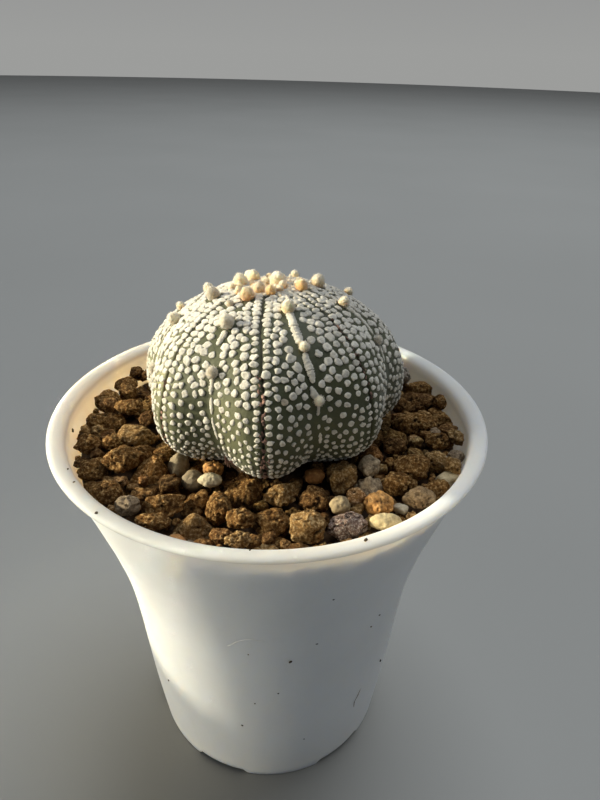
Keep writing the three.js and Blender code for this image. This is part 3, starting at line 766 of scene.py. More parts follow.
def wall_spot(azimuth, z, r=None):
    """A point on the pot's outside and its outward direction."""
    a = math.radians(azimuth)
    slope = float(outside_radius(z + 0.5) - outside_radius(z - 0.5)) if r is None else 0.0
    r = float(outside_radius(z)) if r is None else r
    out = np.array([math.cos(a), math.sin(a), -slope])
    return np.array([r * math.cos(a), r * math.sin(a), z]), out / np.linalg.norm(out)


def make_marks():
    """Grains of soil and dust stuck to the pot, a pale curved scratch and a short scuff."""
    pick = np.random.RandomState(15)
    n = Noise(17)
    heap = Heap()
    directions, faces = BALLS[1]
    spots = [
        (-83.3, 53.8, 0.42), (-74.8, 59.4, 0.30), (-73.3, 77.8, 0.22), (-48.7, 58.3, 0.30), (-51.9, 55.6, 0.28), (-34.3, 30.0, 0.48),
        (-101.4, 26.1, 0.34), (-87.2, 41.1, 0.24), (-75.6, 17.7, 0.26), (-97.3, 57.1, 0.20), (-95.9, 36.7, 0.20), (-138.0, 28.8, 0.34),
    ]
    rows = [(wall_spot(a, z), size) for a, z, size in spots]
    for a, r, z, size in ((-148.9, 47.1, 97.35, 0.30), (-143.0, 47.5, 97.43, 0.28), (-129.8, 49.1, 97.49, 0.36), (-70.0, 48.2, 97.49, 0.42), (-94.2, 47.5, 97.43, 0.20)):
        rows.append(((wall_spot(a, z, r)[0], np.array([0.0, 0.0, 1.0])), size))
    a = math.radians(-175.2)
    rows.append(((np.array([46.0 * math.cos(a), 46.0 * math.sin(a), 93.1]), np.array([-math.cos(a), -math.sin(a), 0.2])), 0.55))
    # a few more round the far side
    for _ in range(9):
        rows.append((wall_spot(pick.uniform(0, 190), pick.uniform(8, 88)), pick.uniform(0.18, 0.36)))
    for _ in range(5):
        a = pick.uniform(10, 170)
        rows.append(((wall_spot(a, 97.45, 48.6)[0], np.array([0.0, 0.0, 1.0])), pick.uniform(0.18, 0.32)))
    for k, ((point, out), size) in enumerate(rows):
        side = np.cross(out, [0.3, 0.2, 0.9])
        side /= np.linalg.norm(side)
        down = np.cross(out, side)
        lump = 1 + 0.5 * n.fbm(directions * 1.6 + k * 2.3, 2)
        local = directions * lump[:, None] * np.array([1.0, pick.uniform(0.55, 0.95), 0.42]) * size
        spin = pick.uniform(0, 3.14)
        x, y = math.cos(spin) * local[:, 0] - math.sin(spin) * local[:, 1], math.sin(spin) * local[:, 0] + math.cos(spin) * local[:, 1]
        pts = point + x[:, None] * side + y[:, None] * down + (local[:, 2:] + 0.06 * size) * out
        heap.add(pts, faces, np.array([1.0, 0.9, 0.8]) * pick.uniform(0.5, 1.5))
    # the scuff: a chain of thin grey flecks, and a faint arc by the foot
    for line, width, tone in (
        ([(-48.3, 27.9), (-49.0, 26.6), (-49.6, 25.2), (-50.4, 24.2), (-51.1, 23.4), (-50.9, 21.8), (-50.5, 20.2)], 0.26, 3.4),
        ([(-129.4, 20.0), (-128.6, 19.0), (-127.5, 18.3), (-126.1, 17.9)], 0.12, 5.5),
    ):
        line = np.array(line)
        t = np.linspace(0, len(line) - 1, 5 * len(line))
        a, z = np.interp(t, np.arange(len(line)), line[:, 0]), np.interp(t, np.arange(len(line)), line[:, 1])
        pairs = [wall_spot(p, q) for p, q in zip(a, z)]
        point, out = np.array([q[0] for q in pairs]), np.array([q[1] for q in pairs])
        half = width * (0.55 + 0.45 * n.at(np.stack([t * 1.3, t * 0, t * 0], 1))) * np.clip(np.minimum(t, t[-1] - t) * 1.5, 0.15, 1)
        ahead = np.gradient(point, axis=0)
        pts, quads = tube(point, half, np.cross(out, ahead), 8, 0.20)
        heap.add(pts, quads, np.array([1.0, 0.98, 0.92]) * tone)
    heap.piece("pot_specks", M["soil"], "pot_plastic", ["pot"])
    # the scratch: a thin pale sliver
    line = np.array([(-104.6, 59.2), (-102.8, 60.14), (-101.4, 61.6), (-99.8, 62.7), (-97.8, 63.5), (-95.7, 63.7), (-93.2, 63.4), (-90.9, 62.7)])
    t = np.linspace(0, len(line) - 1, 48)
    a, z = np.interp(t, np.arange(len(line)), line[:, 0]), np.interp(t, np.arange(len(line)), line[:, 1])
    pairs = [wall_spot(p, q) for p, q in zip(a, z)]
    point, out = np.array([q[0] for q in pairs]), np.array([q[1] for q in pairs])
    half = 0.088 * np.clip(np.minimum(t, (t[-1] - t) * 0.45) * 1.6, 0.2, 1) * (1 + 0.3 * n.at(np.stack([t * 1.9, t * 0, t * 0], 1)))
    ahead = np.gradient(point, axis=0)
    pts, quads = tube(point, half, np.cross(out, ahead), 8, 0.8)
    piece("pot_scratch", pts, quads, np.ones((len(pts), 3)), M["burr"], ["pot"])


make_pot()
make_marks()


# ---- plant surface -----------------------------------------------------------------------

CENTRE = (1.36, 2.84, RIM_PLANE + 6.43)
WIDTH = 30.09
CROWN, BELLY = 22.25, 13.89
CROWN_POWER, BELLY_POWER = 2.125, 2.474
VALLEY, VALLEY_POWER = 0.151, 1.211
DIMPLE = 0.83
LEAN = np.array([-1.9, 3.7])
RIBS = np.array(
    [
        (-139, -117, 1.038), (-94.7, -73, 1.034), (-48, -24, 0.971), (-2, 20, 0.986),
        (43, 65, 1.0), (88, 110, 1.0), (132, 152, 1.0), (172, 194, 1.018),
    ],
    float,
)
SEAMS = RIBS[:, 0]
LINES = RIBS[:, 1]


def lean_weight(u):
    t = np.clip((u - math.radians(10)) / math.radians(85), 0, 1)
    return 1 - t * t * (3 - 2 * t)


def rib_at(phi):
    """Place between two crests, 0 to 1 with the valley at 0.5, and how far the ribs stand out."""
    turn = (np.degrees(phi) - RIBS[0, 0]) % 360
    f = np.zeros_like(turn)
    stand = np.ones_like(turn)
    for i in range(len(RIBS)):
        start = RIBS[i, 0] - RIBS[0, 0]
        valley = RIBS[i, 1] - RIBS[0, 0]
        nxt = RIBS[(i + 1) % len(RIBS)]
        end = nxt[0] - RIBS[0, 0] if i + 1 < len(RIBS) else 360.0
        here = (turn >= start) & (turn <= end)
        g = np.where(turn < valley, 0.5 * (turn - start) / (valley - start), 0.5 + 0.5 * (turn - valley) / (end - valley))
        blend = 0.5 - 0.5 * np.cos(np.pi * g)
        f = np.where(here, g, f)
        stand = np.where(here, RIBS[i, 2] * (1 - blend) + nxt[2] * blend, stand)
    return f, stand


def ray_to_circle(start_x, start_y, dx, dy, radius):
    b = start_x * dx + start_y * dy
    inside = np.maximum(b * b + radius**2 - start_x**2 - start_y**2, 0)
    return -b + np.sqrt(inside)


SHOULDER = 0.7


def crown_part(dx, dy, up):
    """Distance from the growing point's axis and tilt, near the crown."""
    edge = lean_weight(math.pi / 2)
    reach = ray_to_circle(LEAN[0] * edge, LEAN[1] * edge, dx, dy, WIDTH)
    s = reach * np.sin(up * math.pi / 2) ** (2 / CROWN_POWER)
    u = up * math.pi / 2
    for _ in range(30):
        lw = lean_weight(u)
        qx, qy = LEAN[0] * lw + s * dx, LEAN[1] * lw + s * dy
        rho = np.clip(np.hypot(qx, qy) / WIDTH, 0, 1)
        u = 0.5 * u + 0.5 * np.arcsin(np.clip(rho ** (CROWN_POWER / 2), 0, 1))
    return s, u


def plan(phi, w):
    """Plan position and tilt u of a surface point. phi is the direction from the growing point,
    in radians, and w runs from 0 at the growing point, 1 at the widest line, to 2 underneath."""
    phi, w = np.broadcast_arrays(np.asarray(phi, float), np.asarray(w, float))
    dx, dy = np.cos(phi), np.sin(phi)
    s, u = crown_part(dx, dy, np.clip(w, 0, SHOULDER))
    share = np.clip((w - SHOULDER) / (1 - SHOULDER), 0, 1)
    u = u + (math.pi / 2 - u) * share
    lw = lean_weight(u)
    ring = ray_to_circle(LEAN[0] * lw, LEAN[1] * lw, dx, dy, WIDTH * np.sin(u) ** (2 / CROWN_POWER))
    s = np.where(share > 0, ring, s)
    qx, qy = LEAN[0] * lw + s * dx, LEAN[1] * lw + s * dy
    low = w > 1
    ul = np.clip(w, 1, 2) * math.pi / 2
    lwl = lean_weight(ul)
    rl = WIDTH * np.clip(np.sin(ul), 0, 1) ** (2 / BELLY_POWER)
    cx, cy = LEAN[0] * lwl, LEAN[1] * lwl
    sl = ray_to_circle(cx, cy, dx, dy, rl)
    qx = np.where(low, cx + sl * dx, qx)
    qy = np.where(low, cy + sl * dy, qy)
    u = np.where(low, ul, u)
    s = np.where(low, sl, s)
    return qx, qy, u, s


def plant_at(phi, w):
    """Surface point in millimetres, and the distance from the growing point in plan."""
    qx, qy, u, s = plan(phi, w)
    f, stand = rib_at(np.asarray(phi, float) + np.zeros_like(qx))
    v = (0.5 - 0.5 * np.cos(2 * np.pi * f)) ** VALLEY_POWER
    depth = np.clip((u / np.pi - 0.08) / 0.52, 0, 1) ** 1.3
    grow = (1 - VALLEY * depth * v) * (1 + (stand - 1) * np.clip(u / 1.2, 0, 1))
    upper = np.asarray(w) + np.zeros_like(qx) <= 1
    high = np.clip(np.cos(u), 0, 1) ** (2 / CROWN_POWER)
    deep = np.clip(-np.cos(u), 0, 1) ** (2 / BELLY_POWER)
    z = np.where(upper, CROWN * high, -BELLY * deep)
    z = z - upper * DIMPLE * np.exp(-((qx - LEAN[0]) ** 2 + (qy - LEAN[1]) ** 2) / (0.16 * WIDTH) ** 2)
    return np.stack([CENTRE[0] + qx * grow, CENTRE[1] + qy * grow, CENTRE[2] + z], -1), s * grow


def frame_at(phi, w):
    """Point, outward normal, way down the rib and way across it."""
    e = 0.004
    phi, w = np.broadcast_arrays(np.asarray(phi, float), np.asarray(w, float))
    w = np.clip(w, 0.02, 1.98)
    p, s = plant_at(phi, w)
    down = plant_at(phi, w + e)[0] - plant_at(phi, w - e)[0]
    across = plant_at(phi + e, w)[0] - plant_at(phi - e, w)[0]
    down /= np.linalg.norm(down, axis=-1, keepdims=True) + 1e-12
    across /= np.linalg.norm(across, axis=-1, keepdims=True) + 1e-12
    normal = np.cross(down, across)
    normal /= np.linalg.norm(normal, axis=-1, keepdims=True) + 1e-12
    across = np.cross(normal, down)
    return p, normal, down, across, s


def from_plain(azimuth, tilt):
    """(phi, w) of a point given by its plain azimuth and its angle from the crown, in degrees."""
    t, u = np.radians(np.asarray(azimuth, float)), np.radians(np.asarray(tilt, float))
    power = np.where(u <= math.pi / 2, CROWN_POWER, BELLY_POWER)
    rho = np.sin(u) ** (2 / power)
    lw = lean_weight(u)
    rx, ry = WIDTH * rho * np.cos(t) - LEAN[0] * lw, WIDTH * rho * np.sin(t) - LEAN[1] * lw
    phi = np.arctan2(ry, rx)
    edge = lean_weight(math.pi / 2)
    reach = ray_to_circle(LEAN[0] * edge, LEAN[1] * edge, np.cos(phi), np.sin(phi), WIDTH)
    share = np.clip(np.hypot(rx, ry) / reach, 0, 1)
    w = np.arcsin(share ** (CROWN_POWER / 2)) * 2 / math.pi
    _, start = crown_part(np.cos(phi), np.sin(phi), np.full_like(phi, SHOULDER))
    late = SHOULDER + (1 - SHOULDER) * (u - start) / (math.pi / 2 - start)
    w = np.where(u > start, late, np.minimum(w, SHOULDER))
    return phi, np.where(u > math.pi / 2, u * 2 / math.pi, w)


def nearest_gap(phi, lines):
    """Signed angle from the nearest of some lines, in radians."""
    away = (np.degrees(phi)[..., None] - lines + 180) % 360 - 180
    i = np.argmin(np.abs(away), axis=-1)
    return np.radians(np.take_along_axis(away, i[..., None], -1)[..., 0]), i


def furrow_shape(phi, w, s):
    """How far the skin lies below the smooth rib, along a seam."""
    gap, which = nearest_gap(phi, SEAMS)
    d = s * np.sin(np.clip(gap, -1.2, 1.2))
    wander = 0.22 * np.sin(w * 9 + which * 1.7) + 0.10 * np.sin(w * 31 + which * 4.1)
    d = d - wander * np.clip(s / 8, 0, 1)
    strength = smooth((s - 1.5) / 4) * smooth((1.85 - w) / 0.25) * (0.30 + 0.70 * smooth((w - 0.45) / 0.5))
    groove = 0.65 * np.exp(-((np.abs(d) / 0.28) ** 2.0)) - 0.12 * np.exp(-(((np.abs(d) - 0.95) / 0.45) ** 2))
    return strength * groove, d


def make_skin():
    # columns closer together near the seams
    columns = []
    for i in range(len(RIBS)):
        a = RIBS[i, 0]
        b = RIBS[(i + 1) % len(RIBS), 0] + (360 if i + 1 == len(RIBS) else 0)
        t = np.linspace(0, 1, 56, endpoint=False)
        t = t - 0.115 * np.sin(2 * np.pi * t)
        columns.append(a + (b - a) * t)
    phi = np.radians(np.concatenate(columns))
    w = np.concatenate([np.linspace(0.012, 1.0, 84) ** 0.92, np.linspace(1.0, 1.93, 38)[1:]])
    w = np.sort(w)
    grid_w, grid_phi = np.meshgrid(w, phi, indexing="ij")
    p, normal, _, _, s = frame_at(grid_phi, grid_w)
    groove, d = furrow_shape(grid_phi, grid_w, s)
    n = Noise(11)
    flat = p.reshape(-1, 3)
    swell = (0.16 * n.fbm(flat / 5.0, 2) + 0.05 * n.fbm(flat / 1.4 + 9, 3)).reshape(groove.shape)
    p = p + normal * (swell - groove)[..., None]
    rows, cols = grid_phi.shape
    points = p.reshape(-1, 3)
    faces = [frames_to_faces(rows, cols)[:, ::-1]]
    top = plant_at(0.0, 0.0)[0].reshape(3)
    top = np.array([CENTRE[0] + LEAN[0], CENTRE[1] + LEAN[1], p[0].mean(0)[2]])
    bottom = p[-1].mean(0)
    k = np.arange(cols)
    total = len(points)
    points = np.concatenate([points, [top, bottom]])
    faces.append(np.stack([np.full(cols, total), k, (k + 1) % cols], 1))
    faces.append(np.stack([np.full(cols, total + 1), (rows - 1) * cols + (k + 1) % cols, (rows - 1) * cols + k], 1))
    # darker, purplish-brown at the bottom of the seams: partly the seams' own colour, partly painted shade in the
    # groove
    deep = np.exp(-((d / 0.27) ** 2)) * smooth((s - 1.0) / 4)
    tone = np.ones((rows, cols, 3))
    tone = tone * (1 - 0.72 * deep[..., None]) + 0.72 * deep[..., None] * np.array([0.55, 0.38, 0.36])
    low = smooth((grid_w - 1.05) / 0.5)[..., None]
    tone = tone * (1 - low * (1 - np.array([0.95, 0.90, 0.72])))
    # painted light: the skin is paler on the left flank, which faces the key lamp, where the flecks run together
    left_flank_painted_light = smooth((-normal[..., 0] - 0.25) / 0.55) * smooth((1.10 - grid_w) / 0.25) * (0.8 + 0.6 * n.fbm(flat / 6.0 + 70, 3).reshape(rows, cols))
    tone = tone * (1 + left_flank_painted_light[..., None] * np.array([2.0, 1.72, 1.85]))
    tone = np.concatenate([tone.reshape(-1, 3), np.ones((2, 3))])
    return piece("cactus_skin", points, faces, tone, M["skin"], ["cactus_body"])


make_skin()


# ---- flecks ------------------------------------------------------------------------------

SEAM_SIDE = {}  # distance of the first fleck column from a seam, by (rib, side)
for i in range(8):
    SEAM_SIDE[(i, 1)] = (1.15, 1.10, 1.15, 1.1, 1.15, 1.2, 1.1, 1.15)[i]
    SEAM_SIDE[(i, -1)] = (1.2, 1.28, 1.15, 1.15, 1.1, 1.15, 1.2, 1.15)[i]

rng = np.random.RandomState(77)


STEPS = [0.1, 0.3, 0.5, 0.7, 0.85, 1.0, 1.15, 1.3, 1.6]


def size_at(w):
    return np.interp(w, STEPS, [0.98, 0.98, 0.93, 0.77, 0.65, 0.53, 0.44, 0.385, 0.33])


def spacing_at(w):
    return np.interp(w, STEPS, [1.60, 1.78, 1.95, 2.00, 1.92, 1.74, 1.54, 1.36, 1.16])


def crowd_at(phi):
    """The left ribs carry their flecks closer together."""
    off = (np.degrees(phi) - 172 + 180) % 360 - 180
    return 1 - 0.29 * np.exp(-((off / 40) ** 2))


def nearest_of(points, tree):
    return np.array([tree.find(q)[1] for q in points.tolist()])


def areole_table():
    """(phi, w, diameter, tone) of the woolly areoles. Tones: 0 grey-beige, 1 cream, 2 orange-tan."""
    seen = [
        (-127.5, 31.5, 3.4, 0), (-120.5, 56.5, 2.7, 0.1),
        (-78, 18.5, 3.1, 1.2), (-75, 41, 2.35, 1.0), (-72.5, 68.5, 2.3, 0.45),
        (-12.5, 28, 2.6, 1.0), (-21.5, 53, 2.4, 0.0),
        (-177.5, 25.5, 3.3, 0.2), (-173.5, 47, 3.0, 0.3), (-168, 76.5, 2.65, 0.0),
        (-143, 13.5, 3.3, 1.75),
        (145.5, 39, 2.6, 1.0), (171.5, 44, 2.0, 1.0),
        (29.5, 19, 3.5, 1.0), (32, 41, 2.4, 1.0),
        (87, 7.5, 4.0, 1.0), (122, 18, 3.1, 1.2), (149, 17, 3.4, 1.1), (-157, 7, 3.0, 1.3),
        (-115.5, 5.5, 2.6, 2.0), (26.5, 2.5, 2.4, 1.3), (1, 9, 3.1, 2.0), (72, 26, 2.4, 1.0),
        (116.5, 9.5, 2.3, 1.2), (-146.5, 21.5, 1.7, 0.4),
    ]
    rows = []
    for azimuth, tilt, across, tone in seen:
        phi, w = from_plain(azimuth, tilt)
        rows.append((float(phi), float(w), across, tone, True))
    # the far side's lines, carried on at the same spacing
    for line in (65, 110, 152, 20):
        for w, across, tone in ((0.30, 3.0, 0.9), (0.50, 2.7, 0.5), (0.74, 2.4, 0.2)):
            phi = math.radians(line + rng.uniform(-1.5, 1.5))
            w = w + rng.uniform(-0.03, 0.03)
            here = plant_at(phi, w)[0].reshape(3)
            clear = all(np.linalg.norm(plant_at(r[0], r[1])[0].reshape(3) - here) > 6.5 for r in rows)
            if clear:
                rows.append((phi, w, across + rng.uniform(-0.3, 0.3), tone + rng.uniform(-0.2, 0.2), False))
    # small tufts of young wool round the growing point
    for _ in range(70):
        phi = rng.uniform(-np.pi, np.pi)
        w = rng.uniform(0.02, 0.17)
        here = plant_at(phi, w)[0].reshape(3)
        if all(np.linalg.norm(plant_at(r[0], r[1])[0].reshape(3) - here) > (r[2] / 2 + 0.35) for r in rows):
            rows.append((phi, w, rng.uniform(1.1, 1.9), rng.uniform(0.8, 1.7), False))
    return rows


AREOLES = areole_table()
AREOLE_POINTS = np.array([plant_at(a[0], a[1])[0].reshape(3) for a in AREOLES])
AREOLE_SIZE = np.array([a[2] / 2 for a in AREOLES])

# wool cords and streaks down the areole lines: (azimuth, tilt, width) points
CORDS = [
    ("cord", [(-78, 19.5, 1.9), (-77.5, 21.5, 1.83), (-77.5, 26, 2.05), (-77.5, 30.5, 2.18), (-77.0, 35, 2.1), (-76.5, 39, 1.95)]),
    ("cord", [(-75.2, 43.5, 1.5), (-75.5, 47, 1.74), (-74.9, 50.5, 1.9), (-74.5, 53.5, 1.93), (-74.2, 57, 1.6), (-74, 59.3, 0.9)]),
    ("cord", [(-75, 60.6, 0.55), (-75, 61.8, 1.05), (-74.5, 64.5, 1.7), (-73.5, 66.8, 1.9)]),
    ("cord", [(-72.5, 69.5, 1.2), (-72.5, 72.5, 0.78), (-72.8, 74.2, 0.7), (-73, 75.6, 0.85), (-73, 76.6, 0.45)]),
    ("streak", [(-72.6, 81.5, 0.45), (-72.5, 83, 0.80), (-72.4, 84.4, 0.4)]),
    ("streak", [(-71.7, 86.5, 0.35), (-71.5, 88, 0.82), (-71.2, 90.5, 0.80), (-71, 93, 0.5)]),
    ("streak", [(-71, 97.5, 0.3), (-71, 100.5, 0.62), (-71, 103, 0.3)]),
    ("cord", [(-125.8, 35.0, 1.9), (-125.0, 37.5, 1.6), (-124.8, 40.5, 1.5), (-124.9, 43, 1.0)]),
    ("cord", [(-120.2, 59.5, 1.3), (-119.6, 62, 1.05), (-119.2, 65, 1.15), (-118.8, 67.4, 0.7)]),
    ("streak", [(-118.5, 68.6, 0.5), (-118.3, 71, 0.97), (-118.0, 74.5, 0.9), (-117.7, 77.5, 0.5)]),
    ("streak", [(-117.5, 79.0, 0.4), (-117.2, 82, 0.80), (-116.6, 85.5, 0.72), (-116.1, 88.5, 0.6), (-115.7, 91, 0.3)]),
    ("streak", [(-116, 95.5, 0.4), (-116, 97.8, 0.8), (-116.2, 100, 0.5)]),
    ("streak", [(-117, 108.5, 0.4), (-117, 111, 0.75), (-117, 113.5, 0.4)]),
    ("cord", [(-20.6, 49.5, 0.8), (-19.0, 45.5, 1.2), (-16.5, 38.5, 1.5), (-14.0, 32.0, 1.7), (-13.0, 29.5, 1.8)]),
    ("cord", [(-21.8, 55.5, 1.1), (-22.3, 60, 0.9), (-23, 66, 0.6)]),
    ("cord", [(-173.2, 50.5, 1.2), (-172.5, 55, 1.0), (-171.5, 60, 0.6)]),
]


def cord_lines():
    made = []
    for kind, stops in CORDS:
        stops = np.array(stops, float)
        phi, w = from_plain(stops[:, 0], stops[:, 1])
        phi = np.unwrap(phi)
        n = max(8, int(len(stops) * 5))
        t = np.linspace(0, len(stops) - 1, n)
        k = np.arange(len(stops))
        made.append((kind, np.interp(t, k, phi), np.interp(t, k, w), np.interp(t, k, stops[:, 2])))
    for line in (65, 110, 152, 20):
        for a, b, width in ((0.36, 0.45, 1.5), (0.56, 0.66, 1.2), (0.80, 0.87, 0.8), (0.92, 0.98, 0.7), (1.05, 1.10, 0.6)):
            t = np.linspace(0, 1, 14)
            bow = np.sin(np.pi * (0.12 + 0.80 * t)) ** 0.6
            phi = np.radians(line + rng.uniform(-1, 1) + np.linspace(0, rng.uniform(-0.8, 0.8), 14))
            made.append(("cord" if a < 0.7 else "streak", phi, a + (b - a) * t, width * bow))
    return made


CORD_LINES = cord_lines()
CORD_POINTS = np.concatenate([plant_at(c[1], c[2])[0] for c in CORD_LINES])
CORD_WIDTH = np.concatenate([c[3] / 2 for c in CORD_LINES])


def strip_at(w, size):
    """How far from an areole line's middle a fleck's middle stays: a bare green strip lower down."""
    return np.where(w > 0.72, 0.45 + size * 0.95, np.where(w > 0.46, 0.25 + size * 0.70, 0.1 + size * 0.2))


def tree_of(points):
    tree = KDTree(len(points))
    for i, q in enumerate(points.tolist()):
        tree.insert(q, i)
    tree.balance()
    return tree


def skin_samples(count):
    """Points spread evenly over the skin, as phi, w and place."""
    phi = np.linspace(-np.pi, np.pi, 361)
    w = np.linspace(0.02, 1.62, 200)
    gw, gp = np.meshgrid(w, phi, indexing="ij")
    p = plant_at(gp, gw)[0]
    area = np.linalg.norm(np.cross(p[1:, 1:] - p[:-1, :-1], p[1:, :-1] - p[:-1, 1:]), axis=-1)
    share = np.cumsum(area.ravel())
    row, column = np.unravel_index(np.searchsorted(share, rng.uniform(0, share[-1], count)), area.shape)
    phi = phi[column] + rng.uniform(0, 1, count) * (phi[1] - phi[0])
    w = w[row] + rng.uniform(0, 1, count) * (w[1] - w[0])
    return phi, w, plant_at(phi, w)[0]


def seam_columns():
    """The flecks that edge each seam, and the looser second column beside them: phi, w, column."""
    found = []
    for rib in range(8):
        for side in (1, -1):
            seam = RIBS[rib, 0]
            line = RIBS[rib, 1] if side == 1 else RIBS[(rib - 1) % 8, 1]
            width = ((line - seam) * side) % 360
            ws = np.linspace(0.05, 1.6, 400)
            track = plant_at(np.full(400, math.radians(seam + side * 3)), ws)[0]
            reach = plan(np.full(400, math.radians(seam + side * 3)), ws)[3]
            long = np.concatenate([[0], np.cumsum(np.linalg.norm(np.diff(track, axis=0), axis=1))])
            for column in (0, 1):
                at = rng.uniform(0, 1.6)
                wave = rng.uniform(0, 6.28)
                while at < long[-1]:
                    w = float(np.interp(at, long, ws))
                    size = float(size_at(w))
                    s = float(np.interp(w, ws, reach))
                    d = SEAM_SIDE[(rib, side)] + 0.10 * math.sin(at * 0.9 + wave) + rng.normal(0, 0.07)
                    pitch = 0.80 * float(spacing_at(w))
                    if column:
                        d += 0.93 * float(spacing_at(w)) + 0.16 * math.sin(at * 0.42 + wave) + rng.normal(0, 0.12)
                        pitch = 0.94 * float(spacing_at(w))
                    if d < s * math.sin(min(math.radians(width), 1.5)) * 0.8 and d < s:
                        phi = math.radians(seam) + side * math.asin(min(d / s, 0.99))
                        if column == 0 or 0.3 < w < 1.15:
                            found.append((phi, w, column))
                    at += pitch * max(0.72, rng.normal(1.0, 0.11))
    return np.array(found)


def clear_of_wool(w, p):
    size = size_at(w)
    keep = p[:, 2] > 90.3
    far = np.linalg.norm(p[:, None] - AREOLE_POINTS[None], axis=2) - AREOLE_SIZE[None]
    keep &= far.min(1) > size * 0.45
    tree = tree_of(CORD_POINTS)
    near = nearest_of(p, tree)
    far = np.linalg.norm(p - CORD_POINTS[near], axis=1) - CORD_WIDTH[near]
    keep &= far > size * 0.95 + 0.08
    return keep


def fleck_places():
    """Every fleck: phi, w, half width across, half length down, turn, whether it edges a seam."""
    columns = seam_columns()
    place = plant_at(columns[:, 0], columns[:, 1])[0]
    good = clear_of_wool(columns[:, 1], place)
    columns, place = columns[good], place[good]
    phi, w, p = skin_samples(60000)
    s = plan(phi, w)[3]
    size = size_at(w)
    seam_gap, _ = nearest_gap(phi, SEAMS)
    line_gap, _ = nearest_gap(phi, LINES)
    ok = s * np.abs(np.sin(np.clip(seam_gap, -1.5, 1.5))) > 0.95 + 0.35 * size
    ok &= s * np.abs(np.sin(np.clip(line_gap, -1.5, 1.5))) > strip_at(w, size)
    phi, w, p = phi[ok], w[ok], p[ok]
    ok = clear_of_wool(w, p)
    phi, w, p = phi[ok], w[ok], p[ok]

    # one after another, each clear of all before it
    room = spacing_at(w) * crowd_at(phi) / 1.21
    alive = np.ones(len(p), bool)
    sites = [place[columns[:, 2] == 0], place[columns[:, 2] == 1]]
    for group in sites:
        for q in group:
            alive &= ((p - q) ** 2).sum(1) > (room * (0.96 if group is sites[1] else 0.88)) ** 2
    chosen = []
    for i in rng.permutation(len(p)):
        if alive[i]:
            chosen.append(i)
            near = np.abs(p[:, 0] - p[i, 0]) < 2.4
            alive[near] &= ((p[near] - p[i]) ** 2).sum(1) > room[near] ** 2
    free = np.concatenate([place[columns[:, 2] == 1], p[chosen]])
    still = place[columns[:, 2] == 0]

    # evened out a little: each moves towards the middle of its own share of skin
    ground = tree_of(p)
    weight = spacing_at(w) ** -4.0
    for turn in range(3):
        owner = nearest_of(p, tree_of(np.concatenate([still, free])))
        total = np.zeros(len(still) + len(free))
        middle = np.zeros((len(total), 3))
        np.add.at(total, owner, weight)
        np.add.at(middle, owner, p * weight[:, None])
        has = total[len(still) :] > 0
        aim = middle[len(still) :][has] / total[len(still) :][has][:, None]
        free = free[has]
        free = free + (0.85, 0.7, 0.6)[turn] * (aim - free)
        free = p[nearest_of(free, ground)]
    back = nearest_of(free, ground)
    free_phi, free_w = phi[back], w[back]

    f_phi = np.concatenate([columns[columns[:, 2] == 0, 0], free_phi])
    f_w = np.concatenate([columns[columns[:, 2] == 0, 1], free_w])
    edge = np.concatenate([np.zeros(len(still)), np.ones(len(free))])
    q = plant_at(f_phi, f_w)[0]

    # no two closer than they could grow
    keep = np.ones(len(q), bool)
    for i in range(len(q)):
        if keep[i]:
            gap = np.linalg.norm(q - q[i], axis=1)
            close = (gap < 0.62 * spacing_at(f_w[i])) & keep
            close[: i + 1] = False
            keep &= ~close
    f_phi, f_w, edge, q = f_phi[keep], f_w[keep], edge[keep], q[keep]
    tree = tree_of(q)
    gap = np.array([tree.find_n(v, 2)[1][2] for v in q.tolist()])
    size = size_at(f_w)
    count = len(q)
    grow = np.clip(rng.normal(1.0, 0.11, count), 0.72, 1.25)
    stretch = 1 + np.abs(rng.normal(0, 0.09, count))
    limit = np.interp(f_w, [0.3, 0.6, 0.8, 1.2], [0.62, 0.55, 0.47, 0.44])
    half = np.minimum(size * grow * (2.0 - crowd_at(f_phi)) ** 0.28, gap * limit * (1.3 - 0.3 * crowd_at(f_phi) ** 3))
    across = np.where(edge > 0, half * stretch, half * 1.10)
    down = np.where(edge > 0, half / stretch**0.5, half * 0.86 * np.clip(rng.normal(1, 0.08, count), 0.8, 1.2))
    lie = np.where(edge > 0, rng.uniform(-1.5, 1.5, count), rng.normal(0, 0.2, count))
    return np.stack([f_phi, f_w, across, down, lie, edge], 1)


def fleck_shape(point, normal, across, down, a, b, lie, sides):
    """A low felted tuft: an uneven rim, rounded sides and a dimpled or humped top."""
    turn = np.linspace(0, 2 * np.pi, sides, endpoint=False) + rng.uniform(0, 1)
    uneven = 1 + rng.normal(0, 0.075, sides)
    uneven = uneven + rng.uniform(0, 0.13) * np.cos(3 * turn + rng.uniform(0, 6.28)) + rng.uniform(0, 0.09) * np.cos(4 * turn + rng.uniform(0, 6.28))
    x, y = a * np.cos(turn) * uneven, b * np.sin(turn) * uneven
    c, s = math.cos(lie), math.sin(lie)
    x, y = c * x - s * y, s * x + c * y
    tall = (0.165 + 0.135 * min(1.0, b / 0.8)) * rng.uniform(0.8, 1.2)
    dimple = rng.uniform(0.03, 0.14) if rng.rand() < 0.60 else -rng.uniform(0.02, 0.10)
    rings = [(0.97, -0.30), (1.02, 0.30 * tall), (0.88, 0.80 * tall), (0.55, tall)]
    tilt = rng.normal(0, 0.05, 2)
    bits = []
    for scale, height in rings:
        jitter = rng.normal(0, 0.04, sides)
        h = height + (jitter + tilt[0] * x + tilt[1] * y) * (height > 0)
        bits.append(point + scale * (x[:, None] * across + y[:, None] * down) + h[:, None] * normal)
    centre = point + (tall - dimple + rng.normal(0, 0.02)) * normal
    points = np.concatenate(bits + [centre[None]])
    return points


